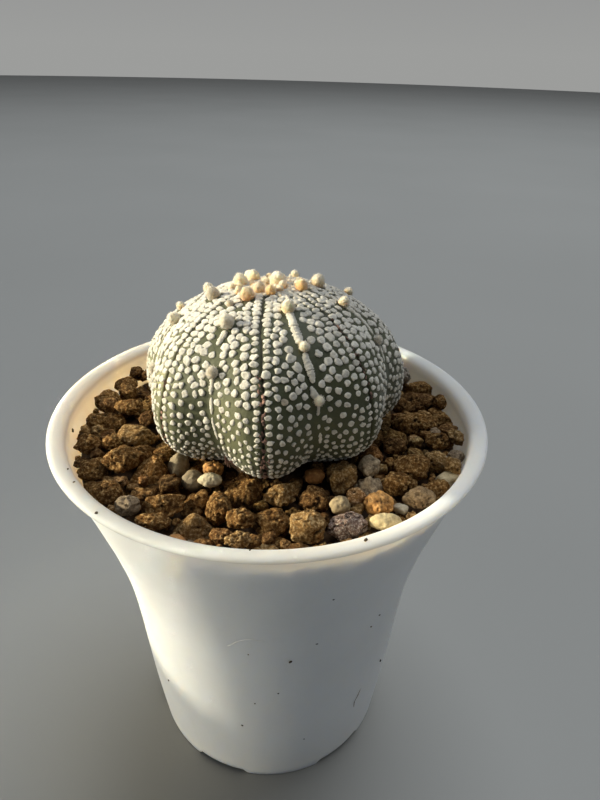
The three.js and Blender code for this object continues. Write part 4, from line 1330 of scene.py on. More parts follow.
def make_flecks():
    f = fleck_places()
    point, normal, down, across, s = frame_at(f[:, 0], f[:, 1])
    patterns = {}
    for sides in (8, 10):
        k = np.arange(sides)
        quads = []
        for ring in range(3):
            quads.append(np.stack([ring * sides + k, ring * sides + (k + 1) % sides, (ring + 1) * sides + (k + 1) % sides, (ring + 1) * sides + k], 1))
        cap = np.stack([3 * sides + k, 3 * sides + (k + 1) % sides, np.full(sides, 4 * sides)], 1)
        patterns[sides] = [np.concatenate(quads), cap, k[::-1][None, :]]
    heaps = [Heap(), Heap()]
    n = Noise(23)
    patch = n.fbm(point / 9.0, 3)
    for i in range(len(f)):
        sides = 8 if normal[i, 1] > 0.25 else 10
        pts = fleck_shape(point[i], normal[i], across[i], down[i], f[i, 2], f[i, 3], f[i, 4], sides)
        bright = 1.0 + 0.10 * patch[i] + rng.normal(0, 0.045)
        hue = np.array([1.0, 0.985, 0.955])
        if rng.rand() < 0.005:
            hue, bright = np.array([0.88, 0.78, 0.66]), bright * 0.86
        tone = np.tile(hue * bright, (len(pts), 1))
        # painted shade and light: the two lowest rings are darker where the fleck meets the skin, and less dark on
        # flecks facing the key lamp on the left
        left = float(smooth((-normal[i, 0] - 0.25) / 0.55))
        tone[:sides] *= 0.45 + 0.30 * left
        tone[sides : 2 * sides] *= 0.80 + 0.14 * left
        tone[2 * sides : 4 * sides] *= rng.uniform(0.93, 1.07, (2 * sides, 1))
        tone[4 * sides] *= rng.uniform(0.66, 1.0)
        heaps[0 if point[i, 0] < 1.0 else 1].add(pts, patterns[sides], tone)
    heaps[0].piece("cactus_flecks_left", M["fleck"], "cactus_skin", ["cactus_body"])
    heaps[1].piece("cactus_flecks_right", M["fleck"], "cactus_skin", ["cactus_body"])
    print("FLECKS", len(f))


make_flecks()


# ---- areoles, wool and cork --------------------------------------------------------------

WOOL_TONES = np.array([(0.80, 0.74, 0.64), (1.06, 1.0, 0.85), (1.12, 0.77, 0.41)])
# brightness of single tufts: partly their own tone, partly painted light and shade for how the key lamp falls on them
WOOL_TONE_AND_PAINTED_LIGHT = {0: 1.20, 2: 1.18, 3: 1.18, 4: 1.25, 7: 0.80, 8: 1.22, 10: 0.94, 13: 0.86, 15: 1.12, 16: 1.18, 17: 1.18, 18: 0.82, 19: 1.22}


def wool_tone(t):
    t = min(max(t, 0.0), 2.0)
    i = min(int(t), 1)
    return WOOL_TONES[i] * (1 - (t - i)) + WOOL_TONES[i + 1] * (t - i)


def fuzz(heap, centre, frame3, half, tall, sunk, count, length, colour):
    """Fine fibres standing off a tuft of wool, which make its outline soft."""
    side, down, normal = frame3
    d = rng.normal(size=(count, 3))
    d[:, 2] = np.abs(d[:, 2]) * 0.95 - 0.2
    d /= np.linalg.norm(d, axis=1, keepdims=True)
    narrow = 1 - 0.14 * d[:, 2:]
    root = d * np.concatenate([narrow, narrow, np.full_like(narrow, tall)], 1) * half * rng.uniform(0.86, 1.02, (count, 1))
    lean = d + rng.normal(0, 0.45, (count, 3))
    lean /= np.linalg.norm(lean, axis=1, keepdims=True)
    long = rng.uniform(*length, (count, 1))
    ends = [centre + q[:, :1] * side + q[:, 1:2] * down + (q[:, 2:] + half * sunk) * normal for q in (root, root + long * lean)]
    axis = ends[1] - ends[0]
    u = np.cross(axis, np.array([0.3, 0.5, 0.8]))
    u /= np.linalg.norm(u, axis=1, keepdims=True) + 1e-9
    v = np.cross(axis / np.linalg.norm(axis, axis=1, keepdims=True), u)
    thick = rng.uniform(0.025, 0.048, (count, 1))
    ring = [ends[0] + thick * (math.cos(a) * u + math.sin(a) * v) for a in (0.0, 2.094, 4.189)]
    points = np.stack(ring + [ends[1]], 1)
    one = np.array([(0, 1, 3), (1, 2, 3), (2, 0, 3), (2, 1, 0)])
    faces = (one[None] + 4 * np.arange(count)[:, None, None]).reshape(-1, 3)
    tone = colour[None] * rng.uniform(0.95, 1.30, (count, 1))
    heap.add(points.reshape(-1, 3), faces, np.repeat(tone, 4, 0))


def make_areoles():
    heap = Heap()
    n = Noise(31)
    for k, (phi, w, across, tone, seen) in enumerate(AREOLES):
        point, normal, down, side, _ = (v.reshape(-1, 3)[0] if np.size(v) > 1 else v for v in frame_at(phi, w))
        half = across / 2 * 0.90
        directions, faces = BALLS[3 if across > 2.0 else 2]
        high = w < 0.52
        tall = 1.12 if high else 0.88
        local = directions * np.array([1.0, 1.0, tall])
        # a shade narrower at the top
        local[:, :2] *= (1 - (0.05 + 0.11 * ((k * 7) % 5) / 4) * directions[:, 2:]) * 0.97
        shift = np.array([7.7, 3.1, 5.3]) * k
        # the older ones are rounder and smoother
        calm = 1.0 if high and tone > 0.5 else 0.55
        lump = 1 + calm * (0.13 * n.fbm(directions * 1.3 + shift, 2) + 0.05 * n.fbm(directions * 4.2 + shift, 3)) + 0.040 * n.fbm(directions * 11 + shift, 2)
        sunk = 0.66 if high else 0.42
        local = local * lump[:, None] * half
        pts = point + local[:, :1] * side + local[:, 1:2] * down + (local[:, 2:] + half * sunk) * normal
        base = wool_tone(tone) * WOOL_TONE_AND_PAINTED_LIGHT.get(k, 1.0)
        # the sides of the young ones are browner and darker than their tops: partly the wool's own colour, partly
        # painted shade
        side_brown_and_shade = np.clip(0.70 - directions[:, 2:], 0, 1) * min(max(tone, 0.0), 1.6) * 0.72
        base = base * (1 - side_brown_and_shade * (1 - np.array([0.93, 0.71, 0.46])))
        tuft = n.fbm(directions * 4.2 + shift, 3)[:, None]
        # random tone, with painted shade under each tuft
        shade = 1 + 0.14 * n.fbm(directions * 3 + shift + 11, 3)[:, None] + 0.22 * tuft - 0.12 * np.clip(-directions[:, 2:] + 0.1, 0, 1)
        heap.add(pts, faces, base * shade)
        count = int((430 if seen else 190) * (half / 1.3) ** 1.6) + 24
        fuzz(heap, point, (side, down, normal), half, tall, sunk, count, (0.20, 0.52) if seen else (0.15, 0.42), base.mean(0) * 1.05)
    # the mat of young wool that the tufts at the growing point stand in
    for k in range(150):
        phi, w = rng.uniform(-np.pi, np.pi), 0.015 + 0.15 * rng.uniform(0, 1) ** 0.6
        point, normal, down, side, _ = (v.reshape(-1, 3)[0] if np.size(v) > 1 else v for v in frame_at(phi, w))
        directions, faces = BALLS[1]
        size = np.array([rng.uniform(0.42, 0.75), rng.uniform(0.5, 1.0), rng.uniform(0.25, 0.55)])
        lump = 1 + 0.35 * n.fbm(directions * 1.9 + k * 2.3, 2)
        local = directions * lump[:, None] * size
        pts = point + local[:, :1] * side + local[:, 1:2] * down + (local[:, 2:] + 0.12) * normal
        base = np.array([(1.02, 0.97, 0.87), (1.02, 0.87, 0.72), (1.0, 0.90, 0.80)])[k % 3] * rng.uniform(0.88, 1.05)
        heap.add(pts, faces, base * (1 + 0.12 * n.fbm(directions * 3 + k, 2)[:, None]))
        fuzz(heap, point, (side, down, normal), float(size[:2].mean()), 0.6, 0.2, 9, (0.15, 0.42), base)
    heap.piece("cactus_areoles", M["wool"], "cactus_skin", ["cactus_body"])


make_areoles()


def make_cords():
    heap = Heap()
    n = Noise(37)
    for i, (kind, phi, w, width) in enumerate(CORD_LINES):
        m = max(12, int(len(phi) * 1.7))
        t = np.linspace(0, len(phi) - 1, m)
        k = np.arange(len(phi))
        phi, w, width = np.interp(t, k, phi), np.interp(t, k, w), np.interp(t, k, width)
        p, normal, down, across, _ = frame_at(phi, w)
        half = width / 2 * 0.84 * (1 + 0.42 * n.at(np.stack([t * 0.9, t * 0 + i * 3.1, t * 0], 1)))
        ends = np.clip(np.minimum(np.arange(m), m - 1 - np.arange(m)) / 2.2, 0.12, 1)
        half = half * ends**0.6
        p = p + normal * (0.10 * half)[:, None]
        pts, faces = tube(p, half, across, 12, 0.62 if kind == "cord" else 0.48)
        rough = 1 + 0.26 * n.fbm(pts * np.array([1.2, 1.2, 1.2]) + i, 3)
        middle = np.concatenate([np.repeat(p, 12, 0), p[:1], p[-1:]])
        pts = middle + (pts - middle) * rough[:, None]
        base = np.array([0.98, 0.965, 0.93]) if kind == "cord" else np.array([1.02, 1.01, 0.98])
        shade = 1 + 0.13 * n.fbm(pts * 1.7, 3)[:, None]
        heap.add(pts, faces, base * shade)
    # thin flat ribbons of wool, run out from the growing point between the flecks
    for i in range(30):
        line = LINES[i % 8] if i < 16 else SEAMS[i % 8]
        start = rng.uniform(0.05, 0.13)
        reach = rng.uniform(0.08, 0.19)
        phi = np.radians(line + rng.uniform(-13, 13) + np.linspace(0, rng.uniform(-9, 9), 12))
        w = np.linspace(start, start + reach, 12)
        p, normal, down, across, _ = frame_at(phi, w)
        bow = np.sin(np.pi * np.linspace(0.08, 0.94, 12)) ** 0.5
        half = rng.uniform(0.30, 0.58) * bow * (1 + 0.35 * n.at(np.stack([np.linspace(0, 6, 12), np.full(12, i * 2.7), np.zeros(12)], 1)))
        pts, faces = tube(p + normal * 0.16, half, across, 8, 0.55)
        tone = np.array([(1.0, 0.965, 0.90), (1.0, 0.92, 0.83)])[i % 2]
        heap.add(pts, faces, tone * (1 + 0.15 * n.fbm(pts * 1.9, 3)[:, None]))
    heap.piece("cactus_wool_cords", M["fleck"], "cactus_skin", ["cactus_body"])


make_cords()


def make_cork():
    """Ragged corky bits low in the seams, and a dry wisp under the notch by the front."""
    heap = Heap()
    n = Noise(41)
    directions, faces = BALLS[1]
    k = 0
    for rib in range(8):
        spans = {1: (0.66, 1.34, 92), 2: (0.42, 0.86, 30), 0: (0.75, 1.2, 20)}.get(rib, (0.75, 1.2, 12))
        for _ in range(spans[2]):
            k += 1
            w = rng.uniform(spans[0], spans[1])
            s = float(plan(math.radians(SEAMS[rib]), w)[3])
            off = rng.normal(0, 0.46)
            phi = math.radians(SEAMS[rib]) + off / s
            point, normal, down, side, _ = (v.reshape(-1, 3)[0] if np.size(v) > 1 else v for v in frame_at(phi, w))
            size = np.array([rng.uniform(0.14, 0.36), rng.uniform(0.20, 0.52), rng.uniform(0.12, 0.28)])
            lump = 1 + 0.45 * n.fbm(directions * 2.2 + k * 1.3, 3)
            local = directions * lump[:, None] * size
            spin = rng.uniform(-0.7, 0.7)
            c, sn = math.cos(spin), math.sin(spin)
            local = np.stack([c * local[:, 0] - sn * local[:, 1], sn * local[:, 0] + c * local[:, 1], local[:, 2]], 1)
            lift = rng.uniform(-0.25, 0.18)
            pts = point + local[:, :1] * side + local[:, 1:2] * down + (local[:, 2:] + lift) * normal
            tone = np.array([1.0, 0.90, 0.80]) * rng.choice([0.6, 1.1, 1.8, 2.6], p=[0.25, 0.3, 0.3, 0.15])
            heap.add(pts, faces, tone)
    for i in range(7):
        m = 9
        s = np.linspace(0, 1, m)
        foot = np.array([-9.5 + 0.28 * i, -19.5 + rng.normal(0, 0.25), 96.9 + rng.normal(0, 0.3)])
        run = np.array([rng.normal(0.35, 0.35), -0.5 + rng.normal(0, 0.2), -rng.uniform(1.2, 3.1)])
        bend = np.stack([rng.normal(0, 0.22) * np.sin(3.1 * s), rng.normal(0, 0.15) * np.sin(4.0 * s), np.zeros(m)], 1)
        path = foot + s[:, None] * run + bend
        across = np.tile(np.array([1.0, 0.0, 0.0]), (m, 1))
        pts, faces = tube(path, rng.uniform(0.16, 0.30) * (1 - 0.65 * s), across, 6)
        heap.add(pts, faces, np.array([1.9, 1.55, 1.4]) * rng.uniform(0.7, 1.15))
    return heap


cork = make_cork()
cork.piece("cactus_seam_cork", M["cork"], "cactus_skin", ["cactus_body"])


# ---- stones ------------------------------------------------------------------------------


def node_points(node):
    mesh = frame["nodes"][node].data
    co = np.zeros(len(mesh.vertices) * 3, np.float32)
    mesh.vertices.foreach_get("co", co)
    return co.reshape(-1, 3).astype(float) * 1000


def node_planes(node):
    """The flat faces of a stone's solid, as outward directions and distances from its middle."""
    mesh = frame["nodes"][node].data
    co = node_points(node)
    low, high = co.min(0), co.max(0)
    middle = (low + high) / 2
    planes = []
    mesh.calc_loop_triangles()
    for t in mesh.loop_triangles:
        a, b, c = co[list(t.vertices)]
        normal = np.cross(b - a, c - a)
        size = np.linalg.norm(normal)
        if size < 1e-9:
            continue
        normal /= size
        reach = float(np.dot(normal, a - middle))
        if reach < 0:
            normal, reach = -normal, -reach
        if all(np.dot(normal, q[0]) < 0.995 for q in planes):
            planes.append((normal, max(reach, 0.2)))
    return middle, low, high, np.array([q[0] for q in planes]), np.array([q[1] for q in planes])


def hewn_radius(directions, normals, reach, power):
    dots = np.clip(directions @ normals.T / reach[None], 0, None)
    return (dots**power).sum(1) ** (-1 / power)


grain_noise = Noise(53)
pit_noise = Noise(59)

FINISH = {
    # edge sharpness, lumps, grains, pits, how much of it is crumbly
    "akadama": (20.0, 0.20, 0.55, 0.50, 0.74),
    "pebble": (4.5, 0.10, 0.02, 0.02, 0.2),
    "pumice": (8.0, 0.26, 0.30, 0.55, 0.8),
    "lava": (8.0, 0.34, 0.46, 0.70, 0.95),
    "worn": (7.0, 0.20, 0.07, 0.10, 0.45),
    "blunt": (5.0, 0.42, 0.46, 0.46, 0.80),
    "split": (20.0, 0.16, 0.42, 0.42, 0.62),
}


def weathered(directions, radius, kind, seed, scale, relief=1.0):
    """Pushes a stone's surface in and out by lumps, grains and pits; gives points about its
    middle and how deep each lies."""
    power, lump, grain, pit, crumbly = FINISH[kind]
    shift = np.array([13.7, 5.9, 8.3]) * seed % 97.0
    p = directions * radius[:, None]
    q = p + shift
    rough = smooth((grain_noise.fbm(q / (1.1 * scale) + 31, 2) + crumbly - 0.35) / 0.5)
    big = grain_noise.fbm(q / (0.62 * scale), 3) * lump * scale * 0.5
    near, _ = pit_noise.cells(q / 1.15)
    knob = (np.sqrt(np.clip(1 - (near / 0.86) ** 2, 0, 1)) - 0.62) * grain
    near2, _ = pit_noise.cells(q / 0.62 + 7)
    knob = knob + (np.sqrt(np.clip(1 - (near2 / 0.86) ** 2, 0, 1)) - 0.62) * grain * 0.45
    hole = -smooth((pit_noise.fbm(q / 0.85 + 50, 2) - 0.16) / 0.26) * pit * 0.55
    fine = grain_noise.fbm(q / 0.42 + 3, 2) * (0.07 if kind != "pebble" else 0.012)
    move = relief * (big + (knob + hole) * (0.25 + 0.75 * rough) + fine * (0.4 + 0.6 * rough))
    return p + directions * move[:, None], (knob + hole) * (0.25 + 0.75 * rough) + 0.4 * fine, rough


def stone_tint(depth, rough, points, seed, kind):
    shift = np.array([3.1, 9.7, 4.3]) * seed % 89.0
    patch = grain_noise.fbm(points / 3.2 + shift, 3)
    spot = grain_noise.fbm(points / 0.9 + shift + 20, 3)
    if kind in ("pebble", "worn"):
        # random tone, and for worn stones darker in the hollows as painted shade
        value = 1 + 0.18 * patch + 0.10 * spot + (0.8 * np.clip(depth, -0.4, 0.2) if kind == "worn" else 0)
        return np.stack([value, value * (1 - 0.02 * patch), value * (1 - 0.05 * patch)], 1)
    # painted shade and light: darker in the pits, lighter on the knobs
    pit_shade_knob_light = np.clip(1 + 2.5 * depth, 0.15, 1.6)
    value = pit_shade_knob_light * (1 + 0.22 * patch + 0.12 * spot)
    warm = 0.10 * patch + 0.12 * np.clip(depth * 3, -0.5, 0.5)
    return np.stack([value, value * (1 + 0.35 * warm), value * (1 + 0.6 * warm)], 1)


SURFACES = {
    "akadama_brown": "akadama_brown", "akadama_tan": "akadama_tan", "akadama_dark": "akadama_dark",
    "pebble_golden": "pebble_golden", "pebble_cream": "pebble_cream", "pumice_grey": "pumice_grey", "lava_plum": "lava_plum",
}

# stones whose look differs from their kind: how they break, and a colour shift
SPECIAL = {
    "pebble_03": ("akadama", (1.05, 1.0, 0.9)),
    "pebble_07": ("akadama", (1.05, 1.0, 0.9)),
    "pebble_01": ("worn", (0.84, 0.75, 0.65)),
    # painted shade: pebble_02 is coloured darker for the shadow its neighbours cast on it
    "pebble_02": ("worn", (0.50, 0.44, 0.37)),
    "pebble_04": ("worn", (1.25, 1.2, 1.1)),
    "pebble_05": ("worn", (0.62, 0.52, 0.44)),
    "pebble_06": ("worn", (0.70, 0.60, 0.46)),
    "pebble_08": ("worn", (1.2, 1.08, 0.80)),
    "pumice_granule_01": ("pumice", (0.84, 0.73, 0.58)),
    "pumice_granule_02": ("pumice", (1.30, 1.14, 0.88)),
    "pumice_granule_03": ("pumice", (1.0, 0.78, 0.50)),
    "akadama_granule_25": ("akadama", (1.05, 0.92, 0.92)),
    "akadama_granule_24": ("blunt", (1.0, 1.0, 1.0)),
    # painted light: the wedge is coloured lighter to make up for the shadow its neighbours cast on its lit face
    "akadama_granule_10": ("split", (1.60, 1.60, 1.65)),
    "akadama_granule_15": ("split", (1.0, 1.0, 1.0)),
    "akadama_granule_08": ("split", (1.0, 1.0, 1.0)),
}

slots = {row["node"]: row["material_slot"] for row in frame["record"]["subparts"]}


def make_stones():
    shapes = []
    number = 0
    for node in sorted(frame["nodes"]):
        if not node.startswith(("akadama_granule", "pumice_granule", "lava_granule", "pebble")):
            continue
        number += 1
        kind = node.split("_")[0]
        colour = np.ones(3)
        if node in SPECIAL:
            kind, colour = SPECIAL[node]
            colour = np.array(colour)
        middle, low, high, normals, reach = node_planes(node)
        half = (high - low) / 2
        hidden = middle[1] > 18 and abs(middle[0]) < 34
        level = 3 if hidden else 4
        directions, faces = BALLS[level]
        radius = hewn_radius(directions, normals, reach, FINISH[kind][0])
        pts, depth, rough = weathered(directions, radius, kind, number, float(half.mean()))
        # back to the size of the stone's solid
        lo, hi = pts.min(0), pts.max(0)
        pts = (pts - (lo + hi) / 2) * (high - low) / (hi - lo) + middle
        tint = stone_tint(depth, rough, pts, number, kind) * colour
        name = node + "_stone"
        piece(name, pts, faces, tint, M[slots[node]], [node])
        shapes.append(pts)
    return shapes


stone_points = make_stones()


# ---- loose granules ----------------------------------------------------------------------

CELL = 0.35
SPAN = 47.0
axis = np.arange(-SPAN, SPAN + 0.01, CELL)
GRID_X, GRID_Y = np.meshgrid(axis, axis, indexing="ij")
GRID_R = np.hypot(GRID_X, GRID_Y)


def grid_index(v):
    return np.clip(np.round((v + SPAN) / CELL).astype(int), 0, len(axis) - 1)


def starting_maps():
    """Height of what lies below each place, and of what hangs over it."""
    n = Noise(67)
    flat = np.stack([GRID_X.ravel() / 4, GRID_Y.ravel() / 4, np.zeros(GRID_X.size)], 1)
    floor = 89.4 + 0.5 * n.fbm(flat, 2).reshape(GRID_X.shape)
    for pts in stone_points:
        ix, iy = grid_index(pts[:, 0]), grid_index(pts[:, 1])
        np.maximum.at(floor, (ix, iy), pts[:, 2])
    # close the small holes between a stone's points
    for _ in range(2):
        up = floor.copy()
        for dx in (-1, 0, 1):
            for dy in (-1, 0, 1):
                up = np.maximum(up, np.roll(np.roll(floor, dx, 0), dy, 1))
        down = up.copy()
        for dx in (-1, 0, 1):
            for dy in (-1, 0, 1):
                down = np.minimum(down, np.roll(np.roll(up, dx, 0), dy, 1))
        floor = down
    roof = np.full(GRID_X.shape, 200.0)
    phi = np.linspace(-np.pi, np.pi, 720)
    w = np.linspace(1.0, 1.97, 160)
    gw, gp = np.meshgrid(w, phi, indexing="ij")
    under = plant_at(gp, gw)[0].reshape(-1, 3)
    ix, iy = grid_index(under[:, 0]), grid_index(under[:, 1])
    np.minimum.at(roof, (ix, iy), under[:, 2])
    for _ in range(2):
        low = roof.copy()
        for dx in (-1, 0, 1):
            for dy in (-1, 0, 1):
                low = np.minimum(low, np.roll(np.roll(roof, dx, 0), dy, 1))
        roof = low
    inner = GRID_R < 12
    roof[inner] = 89.4
    return floor, roof


def top_level(x, y):
    """Highest that a loose granule stands: lower by the wall on the left, higher on the right."""
    r = math.hypot(x, y)
    return RIM_PLANE - 2.0 + min(1.0, max(0.0, (r - 36.0) / 9.0)) * (-0.6 + 1.5 * x / 46.0)


def settle(count, sizes, floor, roof, tries, seed, ratio=(0.72, 1.0)):
    """Drops granules one after another into the lowest places that still take them."""
    pick = np.random.RandomState(seed)
    placed = []
    misses = 0
    while len(placed) < count and misses < 60:
        a = pick.uniform(*sizes)
        half = np.sort(a * np.array([1.0, pick.uniform(*ratio), pick.uniform(0.62, 0.9)]))[::-1]
        turn = pick.uniform(0, np.pi)
        reach = half[0]
        cells = int(math.ceil(reach / CELL))
        off = np.arange(-cells, cells + 1) * CELL
        ox, oy = np.meshgrid(off, off, indexing="ij")
        c, s = math.cos(turn), math.sin(turn)
        lx, ly = c * ox + s * oy, -s * ox + c * oy
        inside = 1 - (lx / half[0]) ** 2 - (ly / half[1]) ** 2
        mask = inside > 0
        rise = half[2] * np.sqrt(np.clip(inside, 0, 1))[mask]
        gx, gy = np.nonzero(mask)
        gx, gy = gx - cells, gy - cells
        best = None
        angle = pick.uniform(0, 2 * np.pi, tries)
        radius = 45.6 * np.sqrt(pick.uniform(0.20, 1.0, tries))
        px, py = radius * np.cos(angle), radius * np.sin(angle)
        ix, iy = grid_index(px), grid_index(py)
        ok = (ix > cells) & (iy > cells) & (ix < len(axis) - cells - 1) & (iy < len(axis) - cells - 1)
        ix, iy, px, py = ix[ok], iy[ok], px[ok], py[ok]
        fx, fy = ix[:, None] + gx[None], iy[:, None] + gy[None]
        rest = (floor[fx, fy] + rise[None] * 0.86).max(1)
        room = (roof[fx, fy] - rise[None]).min(1) - 0.15
        wall = inside_radius(np.clip(rest, 60, 94)) - 0.15 - np.hypot(px, py) - reach * 0.93
        good = (rest < room) & (wall > 0)
        level = np.array([top_level(x, y) for x, y in zip(px, py)])
        good &= rest + half[2] * 0.9 < level
        if not good.any():
            misses += 1
            continue
        rest = np.where(good, rest, 1e9)
        i = int(np.argmin(rest))
        z = rest[i]
        top = z + rise
        fx, fy = ix[i] + gx, iy[i] + gy
        floor[fx, fy] = np.maximum(floor[fx, fy], top)
        placed.append((px[i], py[i], z, half, turn))
        misses = 0
    return placed


def loose_shape(place, level, kind, seed, pick):
    x, y, z, half, turn = place
    directions, faces = BALLS[level]
    m = 9 if kind != "pebble" else 12
    normals = pick.normal(size=(m, 3))
    normals /= np.linalg.norm(normals, axis=1, keepdims=True)
    normals = np.concatenate([normals, np.eye(3), -np.eye(3)])
    reach = pick.uniform(0.80, 1.0, len(normals))
    radius = hewn_radius(directions, normals, reach, FINISH[kind][0])
    unit = directions * radius[:, None]
    stretched = unit * half
    length = np.linalg.norm(stretched, axis=1)
    pts, depth, rough = weathered(stretched / length[:, None], length, kind, seed, float(half.mean()), 1.0 if half[0] > 1.4 else 0.8)
    pts *= (half / np.abs(pts).max(0)) * 1.04
    c, s = math.cos(turn), math.sin(turn)
    tilt = pick.uniform(-0.35, 0.35)
    ct, st = math.cos(tilt), math.sin(tilt)
    pts = pts @ np.array([[ct, 0, st], [0, 1, 0], [-st, 0, ct]]).T
    pts = pts @ np.array([[c, -s, 0], [s, c, 0], [0, 0, 1]]).T
    pts = pts + np.array([x, y, z])
    return pts, faces, depth, rough


LOOSE = [
    # material, kind, share
    ("akadama_brown", "akadama", 0.565),
    ("akadama_dark", "akadama", 0.21),
    ("akadama_tan", "akadama", 0.17),
    ("pumice_grey", "pumice", 0.025),
    ("pebble_cream", "worn", 0.015),
    ("pebble_golden", "worn", 0.015),
]

# loose stones by the wall, on the right: place, half length, material, kind, shade
WALL_STONES = [
    (39.3, 15.5, 3.9, "akadama_brown", "akadama", 0.85),
    (41.5, 10.0, 3.0, "akadama_dark", "akadama", 0.9),
    (38.2, 24.6, 3.6, "akadama_brown", "akadama", 1.0),
    (43.0, 3.4, 3.1, "akadama_brown", "akadama", 1.0),
    (43.9, -3.4, 2.5, "akadama_dark", "akadama", 1.25),
    (43.2, -8.6, 2.2, "akadama_tan", "akadama", 0.75),
    (41.2, -14.6, 1.9, "pumice_grey", "pumice", (0.80, 0.70, 0.58)),
    (38.9, -19.9, 2.4, "pebble_cream", "worn", (1.0, 0.92, 0.76)),
    (36.0, -24.0, 2.6, "akadama_brown", "akadama", 0.9),
    (42.0, 18.5, 2.4, "akadama_tan", "akadama", 0.6),
    (40.6, -17.0, 1.9, "akadama_tan", "akadama", 0.9),
    (34.6, 28.2, 2.8, "akadama_dark", "akadama", 1.0),
    (43.6, 8.0, 2.2, "akadama_brown", "akadama", 0.8),
    (20.1, -20.9, 2.6, "pumice_grey", "pumice", (1.15, 1.02, 0.80)),
    (-34.9, 16.9, 2.9, "akadama_dark", "akadama", 1.0),
    (-40.4, 5.4, 2.4, "akadama_dark", "akadama", 1.1),
    (-38.0, 12.6, 2.4, "akadama_brown", "akadama", 0.8),
    (-33.0, 23.0, 2.8, "akadama_dark", "akadama", 0.9),
    (-42.4, -3.0, 2.2, "akadama_brown", "akadama", 0.8),
]


def set_down(x, y, length, floor, roof, pick):
    """Rests one loose stone by a given place, shrunk until it stays below the top of the fill."""
    for shrink in (1.0, 0.9, 0.8, 0.7):
        half = np.sort(length * shrink * np.array([1.0, pick.uniform(0.80, 0.95), pick.uniform(0.70, 0.88)]))[::-1]
        turn = pick.uniform(0, np.pi)
        cells = int(math.ceil(half[0] / CELL))
        off = np.arange(-cells, cells + 1) * CELL
        ox, oy = np.meshgrid(off, off, indexing="ij")
        c, s = math.cos(turn), math.sin(turn)
        inside = 1 - ((c * ox + s * oy) / half[0]) ** 2 - ((-s * ox + c * oy) / half[1]) ** 2
        mask = inside > 0
        rise = half[2] * np.sqrt(inside[mask])
        gx, gy = np.nonzero(mask)
        best = None
        for dx, dy in np.concatenate([[[0, 0]], pick.uniform(-1.5, 1.5, (40, 2))]):
            px, py = x + dx, y + dy
            out = float(inside_radius(92.0)) - 0.2 - half[0] * 0.95
            pull = min(1.0, out / math.hypot(px, py))
            px, py = px * pull, py * pull
            ix, iy = int(grid_index(np.array(px))), int(grid_index(np.array(py)))
            fx, fy = np.clip(ix + gx - cells, 0, len(axis) - 1), np.clip(iy + gy - cells, 0, len(axis) - 1)
            rest = float((floor[fx, fy] + rise * 0.86).max())
            room = float((roof[fx, fy] - rise).min()) - 0.15
            if rest < room and (best is None or rest < best[0] - 0.05):
                best = (rest, px, py, fx, fy)
        if best and best[0] + half[2] * 0.9 < RIM_PLANE - 0.6:
            rest, px, py, fx, fy = best
            floor[fx, fy] = np.maximum(floor[fx, fy], rest + rise)
            return (px, py, rest, half, turn)
    return None


def make_loose():
    floor, roof = starting_maps()
    pick = np.random.RandomState(17)
    walled = []
    for x, y, length, material, kind, shade in WALL_STONES:
        place = set_down(x, y, length, floor, roof, pick)
        if place is not None:
            walled.append((place, material, kind, shade))
    print("WALLED", [(w[1], round(float(w[0][3][0]), 1), round(float(w[0][2]), 1)) for w in walled])
    big = settle(112, (1.7, 2.8), floor, roof, 700, 5)
    small = settle(190, (1.0, 1.65), floor, roof, 600, 6)
    crumbs = settle(320, (0.5, 0.95), floor, roof, 600, 7)
    print("LOOSE", len(big), len(small), len(crumbs))
    pick = np.random.RandomState(91)
    heaps = {}
    seed = 300
    for group, level in ((big, 3), (small, 2), (crumbs, 1)):
        for place in group:
            seed += 1
            roll = pick.rand()
            for material, kind, share in LOOSE:
                if roll < share:
                    break
                roll -= share
            behind = place[1] > 20 and abs(place[0]) < 32
            pts, faces, depth, rough = loose_shape(place, max(1, level - 1) if behind else level, kind, seed, pick)
            tint = stone_tint(depth, rough, pts, seed, kind) * pick.uniform(0.78, 1.15) * (1 + pick.uniform(-0.05, 0.05, 3))
            if kind == "pumice":
                tint = tint * np.array([0.82, 0.71, 0.55])
            heaps.setdefault(material, Heap()).add(pts, faces, tint)
    for place, material, kind, shade in walled:
        seed += 1
        pts, faces, depth, rough = loose_shape(place, 3, kind, seed, pick)
        heaps.setdefault(material, Heap()).add(pts, faces, stone_tint(depth, rough, pts, seed, kind) * np.array(shade))
    for material, heap in heaps.items():
        heap.piece("loose_granules_" + material, M[material], material, ["granule_bed"])
    return floor


loose_floor = make_loose()


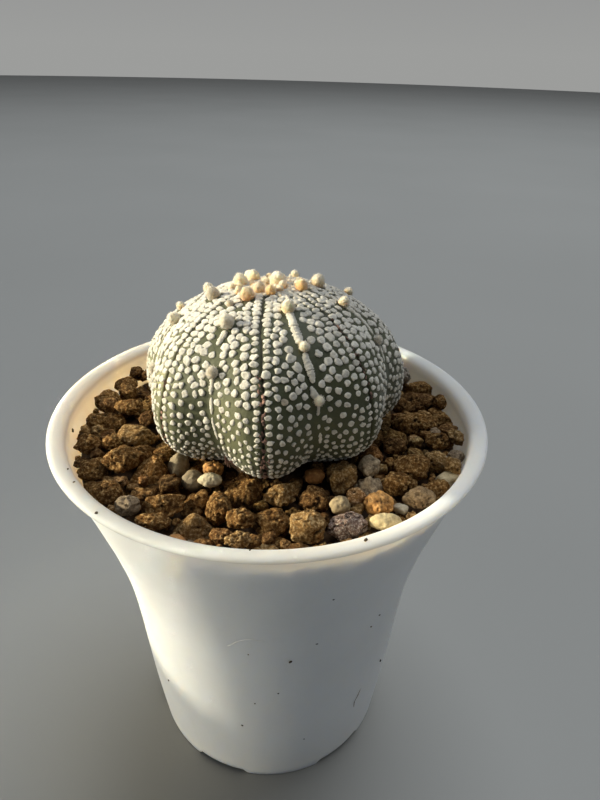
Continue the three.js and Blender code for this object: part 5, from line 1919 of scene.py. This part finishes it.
def make_base():
    """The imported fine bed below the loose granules."""
    n = Noise(73)
    around = 120
    turn = np.linspace(0, 2 * np.pi, around, endpoint=False)
    rings = []
    for z in np.concatenate([[4.86], np.linspace(5.6, 88.6, 16)]):
        r = float(inside_radius(max(z, 6.0))) - 0.45 - (1.4 if z < 5 else 0.0)
        rings.append(np.stack([r * np.cos(turn), r * np.sin(turn), np.full(around, z)], 1))
    top_r = np.linspace(1.0, 0.0, 46, endpoint=False)[1:]
    edge = float(inside_radius(88.6)) - 0.45
    for t in top_r:
        r = edge * t
        x, y = r * np.cos(turn), r * np.sin(turn)
        p = np.stack([x, y, np.zeros(around)], 1)
        near, _ = n.cells(p / 1.9)
        z = 88.8 + 0.55 * n.fbm(p / 4, 2) + 0.9 * (0.5 - near)
        rings.append(np.stack([x, y, z], 1))
    points = np.concatenate(rings)
    rows = len(rings)
    faces = [frames_to_faces(rows, around)]
    k = np.arange(around)
    total = len(points)
    points = np.concatenate([points, [[0, 0, 4.86], [0, 0, 88.9]]])
    faces.append(np.stack([np.full(around, total), (k + 1) % around, k], 1))
    faces.append(np.stack([np.full(around, total + 1), (rows - 1) * around + k, (rows - 1) * around + (k + 1) % around], 1))
    tint = np.ones((len(points), 3)) * (0.9 + 0.3 * n.fbm(points / 1.3, 2))[:, None]
    piece("granule_base", points, faces, tint, M["bed"], ["granule_bed"])


make_base()


# ---- floor -------------------------------------------------------------------------------


def make_floor():
    s = Surface("floor")
    colour = s.ramp(s.noise(0.004, 2, 0.5), [(0.3, (0.41, 0.415, 0.40)), (0.7, (0.43, 0.435, 0.42))])
    s.finish(colour, 0.75, None, 0.2)
    turn = np.linspace(0, 2 * np.pi, 96, endpoint=False)
    points = np.stack([4.0 * np.cos(turn), 4.0 * np.sin(turn), np.full(96, -0.00005)], 1)
    mesh = bpy.data.meshes.new("floor")
    mesh.from_pydata([tuple(p) for p in points], [], [tuple(range(96))])
    mesh.materials.append(s.material)
    floor = bpy.data.objects.new("floor", mesh)
    bpy.context.scene.collection.objects.link(floor)
    return floor


floor = make_floor()

# the key and the side lamp light the object only, so that the floor stays evenly lit
lit = bpy.data.collections.new("lit_by_key")
for made in list(bpy.context.scene.objects):
    if made.type == "MESH" and made != floor:
        lit.objects.link(made)
for lamp in object_lamps:
    lamp.light_linking.receiver_collection = lit
pot_only = bpy.data.collections.new("lit_by_front")
for made in list(bpy.context.scene.objects):
    if made.type == "MESH" and made.name.startswith("pot_"):
        pot_only.objects.link(made)
for lamp in pot_lamps:
    lamp.light_linking.receiver_collection = pot_only

print("TRIANGLES", sum(built.values()), {k: v for k, v in built.items() if v > 15000})
